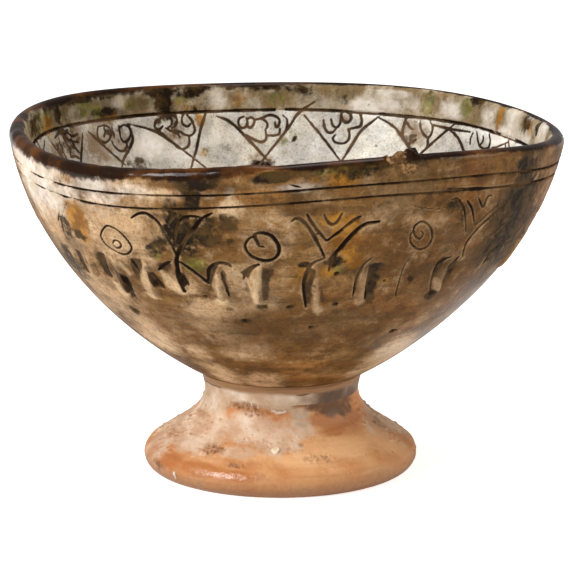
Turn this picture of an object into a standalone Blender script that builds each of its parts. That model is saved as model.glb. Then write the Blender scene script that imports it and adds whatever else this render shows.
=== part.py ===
# Sgraffito bowl on a pedestal foot.
# A thrown bowl is luted to a thrown, hollow foot. The bowl is coated with pale slip, and the
# ornament is cut through that coat to the clay: ring lines part it into bands, and a row of
# gouged tongues runs round the wall. Metres, +Z up, the foot stands on z = 0.

from math import atan2, cos, pi, radians, sin

import bmesh
import bpy
from mathutils import Matrix, Vector

MM = 0.001

# Turning
SEGMENTS = 52
CLEARANCE = 0.3 * MM          # between pieces that touch
WELD = 0.001 * MM             # points closer than this are one

# Bowl
RIM_RADIUS = 80.2 * MM        # outermost point of the lip
HEIGHT = 102.0 * MM           # mean top of the lip above the table
LIP_BEAD = 2.3 * MM           # radius of the rounded lip
LIP_FLARE = radians(10)       # lean of the wall where it runs into the lip
SEAT_HEIGHT = 28.3 * MM       # underside of the pad that the foot carries
PAD_RADIUS = 23.2 * MM
WALL_FOOT_OUT = 1.8 * MM      # lower edge of the coated wall, out from the pad
WALL_FOOT_UP = 1.0 * MM       # and up from it
WALL_RISE = radians(28.4)     # slope of the wall as it leaves the pad
WALL_RISE_PULL = 26.0 * MM    # how long it keeps that slope
WALL_TOP_PULL = 31.0 * MM     # how long it keeps the lip's lean
FLOOR_THICKNESS = 6.7 * MM
FLOOR_INSET = 7.9 * MM        # inside bend, in from the outside one

# Slip and what is cut through it
SLIP = 0.7 * MM
RING_LINE = 1.0 * MM          # width of an incised ring line
UPPER_LINE_DROP = 6.0 * MM    # outer ring lines below the top of the lip
LOWER_LINE_DROP = 9.6 * MM
INNER_LINE_DROP = 8.4 * MM
GOUGES = 36
GOUGE_WIDTH = 3.4 * MM
GOUGE_DEPTH = 2.0 * MM
LONG_GOUGE = 16.0 * MM
SHORT_GOUGE = 11.0 * MM
LONG_GOUGE_DROP = 34.0 * MM   # middles of the gouges below the top of the lip
SHORT_GOUGE_DROP = 36.5 * MM
GOUGE_SLANT = radians(7)

# Foot
NECK_RADIUS = 22.6 * MM
NECK_HEIGHT = 24.0 * MM
NECK_TOP_RADIUS = 23.0 * MM
FOOT_RADIUS = 40.3 * MM
FOOT_ROLL = 4.2 * MM          # radius of the rolled lower edge
FOOT_ROLL_HEIGHT = 4.0 * MM   # centre of that roll above the table
FOOT_ROLL_END = radians(55)   # where the roll runs into the flare
FLARE_PULL = 11.0 * MM
NECK_PULL = 7.5 * MM
FOOT_RING_INNER = 31.5 * MM   # inner edge of the ring that stands on the table
HOLLOW_PULL = 10.0 * MM
HOLLOW_TOP = 22.0 * MM        # where the hollow becomes the straight bore
BORE_RADIUS = 15.5 * MM

# Joint
LUTING = 1.2 * MM             # thickness of the slurry between foot and pad
LUTING_INSET = 1.2 * MM       # its inner edge, out from the bore
LUTING_BEAD = 0.8 * MM        # how far it is squeezed out past the neck

# Unevenness of hand work: the rim rolls up and down and is a little oval, and the pot leans
RIM_SADDLE = 1.75 * MM
RIM_SADDLE_BEARING = radians(32)
RIM_LOBE = 1.35 * MM
RIM_LOBE_BEARING = radians(20)
RIM_OVAL = 0.6 * MM
RIM_OVAL_BEARING = radians(40)
LEAN = 1.9 * MM

FOOT_TOP = SEAT_HEIGHT - LUTING - 2 * CLEARANCE
COAT = SLIP + CLEARANCE


def bezier(a, b, c, d, t):
    u = 1 - t
    point = a * u**3 + b * (3 * u * u * t) + c * (3 * u * t * t) + d * t**3
    slope = (b - a) * (3 * u * u) + (c - b) * (6 * u * t) + (d - c) * (3 * t * t)
    return point, slope.normalized()


def polar(radius, angle):
    return Vector((radius * cos(angle), radius * sin(angle)))


def spread(start, end, count):
    return [start + (end - start) * i / (count - 1) for i in range(count)]


# Profile of the coated bowl in (radius, height): 0 to 1 climbs the outer wall, 1 to 2 goes over
# the lip, 2 to 3 comes down the inside to the middle of the floor.
LIP_CENTRE = Vector((RIM_RADIUS - LIP_BEAD, HEIGHT - LIP_BEAD))
LIP_LEAN = Vector((sin(LIP_FLARE), cos(LIP_FLARE)))
WALL_FOOT = Vector((PAD_RADIUS + WALL_FOOT_OUT, SEAT_HEIGHT + WALL_FOOT_UP))
WALL_BEND = WALL_FOOT + polar(WALL_RISE_PULL, WALL_RISE)
FLOOR_HEIGHT = SEAT_HEIGHT + FLOOR_THICKNESS


def bowl_profile(station):
    if station <= 1:
        top = LIP_CENTRE + polar(LIP_BEAD, -LIP_FLARE)
        point, along = bezier(WALL_FOOT, WALL_BEND, top - LIP_LEAN * WALL_TOP_PULL, top, station)
    elif station <= 2:
        angle = -LIP_FLARE + pi * (station - 1)
        point = LIP_CENTRE + polar(LIP_BEAD, angle)
        along = polar(1, angle + pi / 2)
    else:
        top = LIP_CENTRE + polar(LIP_BEAD, pi - LIP_FLARE)
        bend = Vector((WALL_BEND.x - FLOOR_INSET, FLOOR_HEIGHT))
        middle = Vector((0, FLOOR_HEIGHT))
        point, along = bezier(top, top - LIP_LEAN * WALL_TOP_PULL, bend, middle, station - 2)
    return point, Vector((along.y, -along.x))


def bowl_surface(station, depth):
    point, outward = bowl_profile(station)
    return point - outward * depth


def station_at(drop, low, high):
    # Halve the stretch of profile until it holds the height that lies this far below the lip
    rising = bowl_profile(high)[0].y > bowl_profile(low)[0].y
    for _ in range(40):
        middle = (low + high) / 2
        below = bowl_profile(middle)[0].y < HEIGHT - drop
        if below == rising:
            low = middle
        else:
            high = middle
    return (low + high) / 2


def lean(point):
    point.x -= LEAN * (1 - point.z / HEIGHT)


def hand_thrown(point):
    bearing = atan2(point.x, -point.y)
    climb = (point.z - SEAT_HEIGHT) / (HEIGHT - SEAT_HEIGHT)
    share = climb * climb * (3 - 2 * climb)
    saddle = RIM_SADDLE * cos(2 * (bearing - RIM_SADDLE_BEARING))
    lobe = RIM_LOBE * cos(3 * (bearing - RIM_LOBE_BEARING))
    oval = 1 + share * RIM_OVAL * cos(2 * (bearing - RIM_OVAL_BEARING)) / RIM_RADIUS
    point.x *= oval
    point.y *= oval
    point.z += share * (saddle + lobe)
    lean(point)


def material(name, colour, roughness):
    made = bpy.data.materials.new(name)
    made.use_nodes = True
    shader = made.node_tree.nodes["Principled BSDF"]
    shader.inputs["Base Color"].default_value = (*colour, 1)
    shader.inputs["Roughness"].default_value = roughness
    shader.inputs["Metallic"].default_value = 0
    return made


def place(name, work, warp, finish):
    bmesh.ops.remove_doubles(work, verts=work.verts, dist=WELD)
    bare = [edge for edge in work.edges if not edge.link_faces]
    bmesh.ops.delete(work, geom=bare, context="EDGES")
    bmesh.ops.recalc_face_normals(work, faces=work.faces)
    for vertex in work.verts:
        warp(vertex.co)
    mesh = bpy.data.meshes.new(name)
    work.to_mesh(mesh)
    work.free()
    mesh.shade_smooth()
    mesh.set_sharp_from_angle(angle=radians(35))
    piece = bpy.data.objects.new(name, mesh)
    piece.data.materials.append(finish)
    bpy.context.scene.collection.objects.link(piece)
    return piece


def turned(name, outline, closed, warp, finish):
    work = bmesh.new()
    verts = [work.verts.new((point.x, 0, point.y)) for point in outline]
    edges = [work.edges.new(pair) for pair in zip(verts, verts[1:])]
    if closed:
        edges.append(work.edges.new((verts[-1], verts[0])))
    bmesh.ops.spin(
        work,
        geom=verts + edges,
        cent=(0, 0, 0),
        axis=(0, 0, 1),
        angle=2 * pi,
        steps=SEGMENTS,
        use_merge=True,
    )
    return place(name, work, warp, finish)


def coat(name, start, end, rings, finish):
    stations = spread(start, end, rings)
    face = [bowl_surface(station, 0) for station in stations]
    back = [bowl_surface(station, SLIP) for station in reversed(stations)]
    return turned(name, face + back, True, hand_thrown, finish)


def make_bowl(finish):
    wall = [bowl_surface(station, COAT) for station in spread(0, 1, 9)]
    lip = [bowl_surface(station, COAT) for station in spread(1, 2, 6)[1:]]
    inside = [bowl_surface(station, COAT) for station in spread(2, 3, 9)[1:]]
    pad = [Vector((0, SEAT_HEIGHT)), Vector((PAD_RADIUS, SEAT_HEIGHT))]
    return turned("bowl", pad + wall + lip + inside, False, hand_thrown, finish)


def make_foot(finish):
    roll_centre = Vector((FOOT_RADIUS - FOOT_ROLL, FOOT_ROLL_HEIGHT))
    roll_start = atan2(-FOOT_ROLL_HEIGHT, (FOOT_ROLL**2 - FOOT_ROLL_HEIGHT**2) ** 0.5)
    roll = [roll_centre + polar(FOOT_ROLL, a) for a in spread(roll_start, FOOT_ROLL_END, 7)]
    neck = Vector((NECK_RADIUS, NECK_HEIGHT))
    flare_start = roll[-1]
    flare_bend = flare_start + polar(FLARE_PULL, FOOT_ROLL_END + pi / 2)
    neck_bend = neck - Vector((0, NECK_PULL))
    flare = [bezier(flare_start, flare_bend, neck_bend, neck, t)[0] for t in spread(0, 1, 7)[1:]]
    seat = [Vector((NECK_TOP_RADIUS, FOOT_TOP)), Vector((BORE_RADIUS, FOOT_TOP))]
    bore = Vector((BORE_RADIUS, HOLLOW_TOP))
    bore_bend = bore - Vector((0, HOLLOW_PULL))
    ring = Vector((FOOT_RING_INNER, 0))
    ring_bend = ring + Vector((0, HOLLOW_PULL))
    hollow = [bezier(bore, bore_bend, ring_bend, ring, t)[0] for t in spread(0, 1, 7)]
    return turned("pedestal_foot", roll + flare + seat + hollow, True, lean, finish)


def make_luting(finish):
    low = FOOT_TOP + CLEARANCE
    high = SEAT_HEIGHT - CLEARANCE
    inner = BORE_RADIUS + LUTING_INSET
    outline = [
        Vector((inner, low)),
        Vector((NECK_RADIUS, low)),
        Vector((NECK_RADIUS + LUTING_BEAD, (low + high) / 2)),
        Vector((NECK_RADIUS, high)),
        Vector((inner, high)),
    ]
    return turned("luting_ring", outline, True, lean, finish)


def make_gouges(finish):
    # Lens-shaped cutters, long and short by turns, laid along the wall on its outer face
    work = bmesh.new()
    for index in range(GOUGES):
        long_one = index % 2 == 0
        drop = LONG_GOUGE_DROP if long_one else SHORT_GOUGE_DROP
        length = LONG_GOUGE if long_one else SHORT_GOUGE
        point, outward = bowl_profile(station_at(drop, 0, 1))
        along = Vector((-outward.y, outward.x))
        axes = Matrix(((0, outward.x, along.x), (1, 0, 0), (0, outward.y, along.y))).to_4x4()
        turn = Matrix.Rotation(2 * pi * index / GOUGES, 4, "Z")
        slant = Matrix.Rotation(GOUGE_SLANT if long_one else -GOUGE_SLANT, 4, "Y")
        shift = Matrix.Translation((point.x, 0, point.y))
        size = Matrix.Diagonal((GOUGE_WIDTH / 2, GOUGE_DEPTH, length / 2, 1))
        lens = turn @ shift @ axes @ slant @ size
        bmesh.ops.create_uvsphere(work, u_segments=8, v_segments=6, radius=1, matrix=lens)
    cutter = place("gouge_cutter", work, hand_thrown, finish)
    cutter.hide_render = True
    cutter.display_type = "WIRE"
    return cutter


def main():
    for thing in list(bpy.data.objects):
        bpy.data.objects.remove(thing, do_unlink=True)

    clay = material("bowl_clay", (0.45, 0.26, 0.13), 0.85)
    foot_clay = material("foot_clay", (0.62, 0.42, 0.26), 0.8)
    slurry = material("luting_slurry", (0.66, 0.55, 0.42), 0.85)
    wall_glaze = material("wall_slip_glazed", (0.42, 0.29, 0.17), 0.25)
    band_glaze = material("band_slip_glazed", (0.5, 0.37, 0.24), 0.25)
    rim_glaze = material("rim_slip_glazed", (0.07, 0.045, 0.025), 0.2)
    inner_glaze = material("inner_slip_glazed", (0.72, 0.7, 0.64), 0.2)

    half = RING_LINE / 2
    upper_line = [station_at(UPPER_LINE_DROP + side, 0, 1) for side in (half, -half)]
    lower_line = [station_at(LOWER_LINE_DROP + side, 0, 1) for side in (half, -half)]
    inner_line = [station_at(INNER_LINE_DROP + side, 2, 3) for side in (-half, half)]

    pieces = [make_bowl(clay), make_foot(foot_clay), make_luting(slurry)]
    wall = coat("wall_slip", 0, lower_line[0], 9, wall_glaze)
    pieces.append(wall)
    pieces.append(coat("line_slip_band", lower_line[1], upper_line[0], 2, band_glaze))
    pieces.append(coat("rim_slip", upper_line[1], inner_line[0], 12, rim_glaze))
    pieces.append(coat("inner_slip", inner_line[1], 3, 9, inner_glaze))

    cutter = make_gouges(clay)
    cut = wall.modifiers.new("gouged_tongues", "BOOLEAN")
    cut.operation = "DIFFERENCE"
    cut.solver = "EXACT"
    cut.object = cutter

    whole = bpy.data.objects.new("sgraffito_bowl", None)
    bpy.context.scene.collection.objects.link(whole)
    for piece in pieces + [cutter]:
        piece.parent = whole


main()
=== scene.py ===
import math
import bpy
import numpy as np
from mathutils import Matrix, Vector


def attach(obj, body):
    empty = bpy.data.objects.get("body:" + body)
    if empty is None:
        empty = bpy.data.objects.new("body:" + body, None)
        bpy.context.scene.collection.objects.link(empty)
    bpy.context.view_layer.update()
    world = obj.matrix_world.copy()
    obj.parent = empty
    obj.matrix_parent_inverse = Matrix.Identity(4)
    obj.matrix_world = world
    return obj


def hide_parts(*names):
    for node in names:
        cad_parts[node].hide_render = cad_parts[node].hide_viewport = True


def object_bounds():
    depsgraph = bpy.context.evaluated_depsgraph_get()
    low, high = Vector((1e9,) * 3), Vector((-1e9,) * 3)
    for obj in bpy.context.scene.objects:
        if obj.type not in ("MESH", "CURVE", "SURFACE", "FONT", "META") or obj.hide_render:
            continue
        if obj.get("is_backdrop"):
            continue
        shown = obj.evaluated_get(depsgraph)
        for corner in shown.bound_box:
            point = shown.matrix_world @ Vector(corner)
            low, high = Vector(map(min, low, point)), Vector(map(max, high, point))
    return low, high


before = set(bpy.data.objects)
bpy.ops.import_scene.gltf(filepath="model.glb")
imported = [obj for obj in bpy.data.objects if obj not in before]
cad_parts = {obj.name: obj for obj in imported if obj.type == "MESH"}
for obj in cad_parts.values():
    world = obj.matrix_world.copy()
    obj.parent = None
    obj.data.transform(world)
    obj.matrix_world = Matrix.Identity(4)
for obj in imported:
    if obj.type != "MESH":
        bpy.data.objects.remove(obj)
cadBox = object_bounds()
mm = 0.001
deg = math.radians(1)
print("frame loaded")

# the turned shape of the coated bowl, as the solids have it
bowlForm = {
    "rimRadius": 80.2 * mm, "height": 102.0 * mm, "lipBead": 2.3 * mm, "lipFlare": 10 * deg,
    "seat": 28.3 * mm, "padRadius": 23.2 * mm, "footOut": 1.8 * mm, "footUp": 1.0 * mm,
    "rise": 28.4 * deg, "risePull": 26.0 * mm, "topPull": 31.0 * mm,
    "floor": 6.7 * mm, "floorInset": 7.9 * mm, "coat": 0.8 * mm, "deepest": 0.7 * mm,
    "saddle": 1.75 * mm, "saddleBearing": 32 * deg, "lobe": 1.35 * mm, "lobeBearing": 20 * deg,
    "oval": 0.6 * mm, "ovalBearing": 40 * deg, "lean": 1.9 * mm,
    "upperLine": 6.0 * mm, "lowerLine": 9.6 * mm, "innerLine": 8.4 * mm,
}

# where the photograph was taken from, on a square frame
photoView = {
    "size": 570, "distance": 850 * mm, "elevation": 12.53 * deg, "focal": 2899.4,
    "targetX": -0.44 * mm, "targetHeight": 53.76 * mm, "sensor": 36.0,
}
curvePoints = {"bowl": 1500, "foot": 200, "roll": 60}  # along each curve of a profile


def bezier(a, b, c, d, t):
    t = np.asarray(t)[..., None]
    a, b, c, d = (np.asarray(p, float) for p in (a, b, c, d))
    u = 1 - t
    point = a * u**3 + b * (3 * u * u * t) + c * (3 * u * t * t) + d * t**3
    slope = (b - a) * (3 * u * u) + (c - b) * (6 * u * t) + (d - c) * (3 * t * t)
    return point, slope


def polar(radius, angle):
    return np.stack([radius * np.cos(angle), radius * np.sin(angle)], -1)


def bowlProfile(form):
    # radius and height down the whole section: up the wall, over the lip, down the inside
    lip = np.array([form["rimRadius"] - form["lipBead"], form["height"] - form["lipBead"]])
    lipLean = np.array([math.sin(form["lipFlare"]), math.cos(form["lipFlare"])])
    foot = np.array([form["padRadius"] + form["footOut"], form["seat"] + form["footUp"]])
    bend = foot + polar(form["risePull"], form["rise"])
    floor = form["seat"] + form["floor"]
    outerTop = lip + polar(form["lipBead"], -form["lipFlare"])
    innerTop = lip + polar(form["lipBead"], math.pi - form["lipFlare"])
    t = np.linspace(0, 1, curvePoints["bowl"])
    wall = bezier(foot, bend, outerTop - lipLean * form["topPull"], outerTop, t)[0]
    over = lip + polar(form["lipBead"], -form["lipFlare"] + math.pi * t)
    innerBend = [bend[0] - form["floorInset"], floor]
    inside = bezier(innerTop, innerTop - lipLean * form["topPull"], innerBend, [0, floor], t)[0]
    return wall, over, inside


wallPath, lipPath, insidePath = bowlProfile(bowlForm)


class Turned:
    # a profile measured by the way along it, in metres
    def __init__(self, path):
        self.path = path
        step = np.hypot(*np.diff(path, axis=0).T)
        self.way = np.concatenate([[0], np.cumsum(step)])
        slope = np.gradient(path, self.way, axis=0)
        self.normal = np.stack([slope[:, 1], -slope[:, 0]], -1)
        self.normal /= np.hypot(*self.normal.T)[:, None]
        self.length = self.way[-1]

    def radius(self, way):
        return np.interp(way, self.way, self.path[:, 0])

    def height(self, way):
        return np.interp(way, self.way, self.path[:, 1])

    def at(self, bearing, way, lift=0.0):
        normalR = np.interp(way, self.way, self.normal[:, 0])
        normalZ = np.interp(way, self.way, self.normal[:, 1])
        r = self.radius(way) + normalR * lift
        z = self.height(way) + normalZ * lift
        return np.stack([r * np.sin(bearing), -r * np.cos(bearing), z], -1)


def lean(p):
    p = p.copy()
    p[..., 0] -= bowlForm["lean"] * (1 - p[..., 2] / bowlForm["height"])
    return p


def handThrown(p):
    f = bowlForm
    bearing = np.arctan2(p[..., 0], -p[..., 1])
    climb = (p[..., 2] - f["seat"]) / (f["height"] - f["seat"])
    share = climb * climb * (3 - 2 * climb)
    saddle = f["saddle"] * np.cos(2 * (bearing - f["saddleBearing"]))
    lobe = f["lobe"] * np.cos(3 * (bearing - f["lobeBearing"]))
    oval = 1 + share * f["oval"] * np.cos(2 * (bearing - f["ovalBearing"])) / f["rimRadius"]
    p = p.copy()
    p[..., 0] *= oval
    p[..., 1] *= oval
    p[..., 2] += share * (saddle + lobe)
    return lean(p)


bowl = Turned(np.concatenate([wallPath, lipPath[1:], insidePath[1:]]))
lipStart = bowl.way[len(wallPath) - 1]
lipEnd = bowl.way[len(wallPath) + len(lipPath) - 2]


def wallWay(drop):
    return float(np.interp(bowlForm["height"] - drop, wallPath[:, 1], bowl.way[:len(wallPath)]))


def insideWay(drop):
    ways = bowl.way[-len(insidePath):]
    return float(np.interp(drop - bowlForm["height"], -insidePath[:, 1], ways))


upperLine = wallWay(bowlForm["upperLine"])
lowerLine = wallWay(bowlForm["lowerLine"])
innerLine = insideWay(bowlForm["innerLine"])


# pixels of the photograph laid back on to the bowl
def project(p):
    v = photoView
    rise, run = math.sin(v["elevation"]), math.cos(v["elevation"])
    x, y, z = p[..., 0] - v["targetX"], p[..., 1], p[..., 2] - v["targetHeight"]
    depth = v["distance"] + y * run - z * rise
    half = v["size"] / 2
    return np.stack([half + v["focal"] * x / depth, half - v["focal"] * (y * rise + z * run) / depth], -1)


class Seen:
    # places on a turned surface that face the camera, and their pixels
    grazing = 0.03 * mm  # how far a place has to face it
    nudge = np.array([1e-4, 1e-5])  # small steps of bearing and way that give the slope
    longest = np.array([0.02, 0.5e-3])  # the most that one step of Newton may move a place

    def __init__(self, turned, warp, bearings, ways):
        self.turned, self.warp = turned, warp
        grid = np.stack(np.meshgrid(bearings * deg, ways), -1).reshape(-1, 2)
        tilt = photoView["elevation"]
        out = self.turned.at(grid[:, 0], grid[:, 1], mm) - self.turned.at(grid[:, 0], grid[:, 1])
        facing = -out[:, 1] * math.cos(tilt) + out[:, 2] * math.sin(tilt)
        self.grid = grid[facing > self.grazing]
        self.pixels = self.show(self.grid)

    def show(self, places):
        return project(self.warp(self.turned.at(places[:, 0], places[:, 1])))

    def places(self, pixels):
        # bearing and way of each pixel: the nearest known place, then a few steps of Newton
        nearby = np.concatenate([np.zeros((1, 2)), np.diag(self.nudge)])
        found = []
        for wanted in np.asarray(pixels, float):
            place = self.grid[np.argmin(((self.pixels - wanted) ** 2).sum(1))].copy()
            for _ in range(3):
                shown = self.show(place + nearby)
                slope = ((shown[1:] - shown[0]) / self.nudge[:, None]).T
                move = np.linalg.lstsq(slope, wanted - shown[0], rcond=None)[0]
                place += np.clip(move, -self.longest, self.longest)
            found.append(place)
        return np.array(found)


outside = Seen(bowl, handThrown, np.arange(-90, 91, 0.5), np.linspace(0, lipStart + 3 * mm, 180))
inside = Seen(bowl, handThrown, np.arange(75, 286, 0.5),
              np.linspace(lipEnd - 5 * mm, lipEnd + 50 * mm, 120))


def smoothLine(points, perPiece=6):
    # an even curve through the points
    p = np.asarray(points, float)
    if len(p) < 3:
        t = np.linspace(0, 1, perPiece * 2)[:, None]
        return p[0] * (1 - t) + p[-1] * t
    ends = np.concatenate([[2 * p[0] - p[1]], p, [2 * p[-1] - p[-2]]])
    t = np.linspace(0, 1, perPiece, endpoint=False)[:, None]
    parts = []
    for a, b, c, d in zip(ends, ends[1:], ends[2:], ends[3:]):
        parts.append(0.5 * (2 * b + (c - a) * t + (2 * a - 5 * b + 4 * c - d) * t**2
                            + (3 * b - a - 3 * c + d) * t**3))
    return np.concatenate(parts + [p[-1:]])


# a drawing sheet unrolled from a turned surface: one row per way, one column per bearing
class Sheet:
    # the tool's burr, by half widths from the middle of the stroke, how much of it lies above, and how much
    # of it is painted lighter as thin glaze and painted highlight, which falls mostly on its lower, lit side
    burrAt, burrWide, burrAbove, burrWorn = 1.35, 0.45, 0.4, 0.6
    stainSizes = (0.6 * mm, 15 * mm)

    def __init__(self, turned, start, end, columns, step):
        self.ways = np.arange(start, end, step)
        self.step = step
        self.columns = columns
        self.turn = 2 * math.pi / columns
        self.radii = np.maximum(turned.radius(self.ways), 2 * mm)
        self.layers = {}

    def layer(self, name):
        if name not in self.layers:
            self.layers[name] = np.zeros((len(self.ways), self.columns), np.float32)
        return self.layers[name]

    def block(self, low, high, reach):
        # rows and columns of the cells round a patch
        first = max(0, int((low[1] - reach - self.ways[0]) / self.step))
        last = min(len(self.ways), int((high[1] + reach - self.ways[0]) / self.step) + 2)
        spread = reach / self.radii[first:last].min()
        left, right = (low[0] - spread) / self.turn, (high[0] + spread) / self.turn
        return np.arange(first, last), np.arange(math.floor(left), math.ceil(right) + 1)

    def distance(self, line, rows, columns):
        # least distance from each cell to a line, how far along the line that is,
        # and on which side of it the cell lies, by bearing and by way
        w = self.ways[rows][:, None]
        r = self.radii[rows][:, None]
        b = (columns * self.turn)[None, :]
        best = np.full((len(rows), len(columns)), 1.0)
        along, side, above = np.zeros_like(best), np.ones_like(best), np.ones_like(best)
        for i, (p, q) in enumerate(zip(line, line[1:])):
            x, y = (b - p[0]) * r, w - p[1]
            dx, dy = (q[0] - p[0]) * r, q[1] - p[1]
            t = np.clip((x * dx + y * dy) / np.maximum(dx * dx + dy * dy, 1e-12), 0, 1)
            d = np.hypot(x - t * dx, y - t * dy)
            near = d < best
            best = np.where(near, d, best)
            along = np.where(near, (i + t) / (len(line) - 1), along)
            side = np.where(near, np.sign(x - t * dx), side)
            above = np.where(near, np.sign(y - t * dy), above)
        return best, along, side, above

    def paint(self, name, rows, columns, value):
        layer = self.layer(name)
        spot = np.ix_(rows, columns % self.columns)
        layer[spot] = np.maximum(layer[spot], value)

    def mark(self, points, width, sink=0.0, rise=0.0, dark=0.0, burr=0.0, taper=0.45, steep=0.0,
             point=0.0, grow=0.0, worn=0.0):
        # one tool stroke: a groove or a ridge, the dark glaze in it, its thrown-up edge, and its crest and
        # edge painted lighter, partly thin glaze and partly painted highlight;
        # steep moves the deepest or highest line to one side, point narrows its end, grow lifts its end
        line = smoothLine(points)
        area = self.block(line.min(0), line.max(0), width * 1.5 + 1.2 * mm)
        d, along, side, above = self.distance(line, *area)
        fromMiddle = np.abs(2 * along - 1)
        half = width / 2 * (1 - taper * fromMiddle**3) * (1 - point * along**1.5)
        s = d * side / half
        form = np.where(s < steep, (s + 1) / (1 + steep + 1e-6), (1 - s) / (1 - steep + 1e-6))
        form = np.clip(form, 0, 1)
        form = form * (2 - form)
        if sink:
            self.paint("sink", *area, form * sink)
        if rise:
            swell = (1 - grow * (1 - along)) * (1 - fromMiddle**6)
            self.paint("rise", *area, form**1.3 * rise * swell)
        if dark:
            self.paint("cut", *area, np.clip(1.4 - d / half, 0, 1) ** 0.7 * dark)
        # crest painted lighter towards the end of the stroke: thin glaze and painted highlight
        if worn:
            self.paint("worn", *area, form**1.3 * worn * (0.45 + 0.55 * along) * (1 - (1 - along) ** 8))
        if burr:
            edge = np.exp(-((d - half * self.burrAt) / (half * self.burrWide)) ** 2)
            edge = edge * np.where(above < 0, 1, self.burrAbove)
            self.paint("rise", *area, burr * edge)
            self.paint("worn", *area, self.burrWorn * edge)
        self.paint("fine", *area, np.clip(1.6 - d / (half + 0.45 * mm), 0, 1))

    def patch(self, name, centre, size, strength=1.0, turn=0.0, soft=1.0):
        # a soft oval patch, size in metres each way
        area = self.block(centre, centre, max(size) * 1.6)
        rows, columns = area
        x = (columns * self.turn - centre[0])[None, :] * self.radii[rows][:, None]
        y = self.ways[rows][:, None] - centre[1] + 0 * x
        c, s = math.cos(turn), math.sin(turn)
        d = np.hypot((x * c + y * s) / size[0], (y * c - x * s) / size[1])
        self.paint(name, rows, columns, strength * np.clip((1.45 - d) / soft, 0, 1))

    def fill(self, name, outline, strength=1.0, soft=0.5 * mm):
        # a patch inside an outline of places, soft at its edge
        rows, columns = self.block(outline.min(0), outline.max(0), soft)
        ring = np.concatenate([outline, outline[:1]])
        away = self.distance(ring, rows, columns)[0]
        w, b = self.ways[rows][:, None], (columns * self.turn)[None, :]
        within = np.zeros(away.shape, bool)
        for p, q in zip(ring, ring[1:]):
            at = p[0] + (w - p[1]) / (q[1] - p[1] + 1e-9) * (q[0] - p[0])
            within ^= ((p[1] > w) != (q[1] > w)) & (b < at)
        away = np.where(within, away, -away)
        self.paint(name, rows, columns, strength * np.clip(0.5 + away / soft, 0, 1))

    def stain(self, seen, stains):
        # patches by layer, from pixels of the photograph: middle and half size as they look there, strength
        for name, spots in stains.items():
            for x, y, wide, high, strength in spots:
                corner = seen.places([(x, y), (x + wide * 0.5, y), (x, y + high * 0.5)])
                row = int((corner[0][1] - self.ways[0]) / self.step)
                r = self.radii[min(len(self.ways) - 1, max(0, row))]
                away = corner[1:] - corner[0]
                size = 2 * np.hypot(away[:, 0] * r, away[:, 1])
                self.patch(name, corner[0], np.clip(size, *self.stainSizes), strength)

    def read(self, name, bearing, way):
        # a layer's value at each place, between cells
        layer = self.layer(name)
        x = (bearing / self.turn) % self.columns
        y = np.clip((way - self.ways[0]) / self.step, 0, len(self.ways) - 1.001)
        i, j = np.floor(y).astype(int), np.floor(x).astype(int) % self.columns
        fy, fx = y - i, x - np.floor(x)
        k = (j + 1) % self.columns
        low = layer[i, j] * (1 - fx) + layer[i, k] * fx
        high = layer[i + 1, j] * (1 - fx) + layer[i + 1, k] * fx
        return low * (1 - fy) + high * fy


drawing = {"columns": 2400, "step": 0.22 * mm, "start": -1 * mm, "end": bowl.length - 3 * mm, "seed": 11}
sheet = Sheet(bowl, drawing["start"], drawing["end"], drawing["columns"], drawing["step"])
chance = np.random.default_rng(drawing["seed"])


def stray(most):
    # a hand's error, at most so many mm either way
    return chance.uniform(-most, most) * mm


# ring lines, cut by hand against the turning bowl
ringLines = {
    "width": 0.75 * mm, "innerWidth": 1.15 * mm, "depth": 0.5 * mm, "wander": 0.25 * mm,
    "sag": 0.6 * mm, "tilt": 0.5 * mm, "tiltBearing": -20 * deg,
}


def ringLine(way, wobble, width=ringLines["width"], outer=True):
    b = np.linspace(-math.pi, math.pi, 181)
    drift = ringLines["wander"] * wobble * (np.sin(5 * b + way * 900) + 0.6 * np.sin(9 * b + way * 500))
    if outer:
        drift -= ringLines["sag"] + ringLines["tilt"] * np.sin(b - ringLines["tiltBearing"])
    sheet.mark(np.stack([b, way + drift], -1), width, sink=ringLines["depth"], dark=1.0, taper=0.0)


ringLine(upperLine, 0.5)
ringLine(lowerLine, 0.5)
ringLine(innerLine, 0.7, ringLines["innerWidth"], outer=False)

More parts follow.
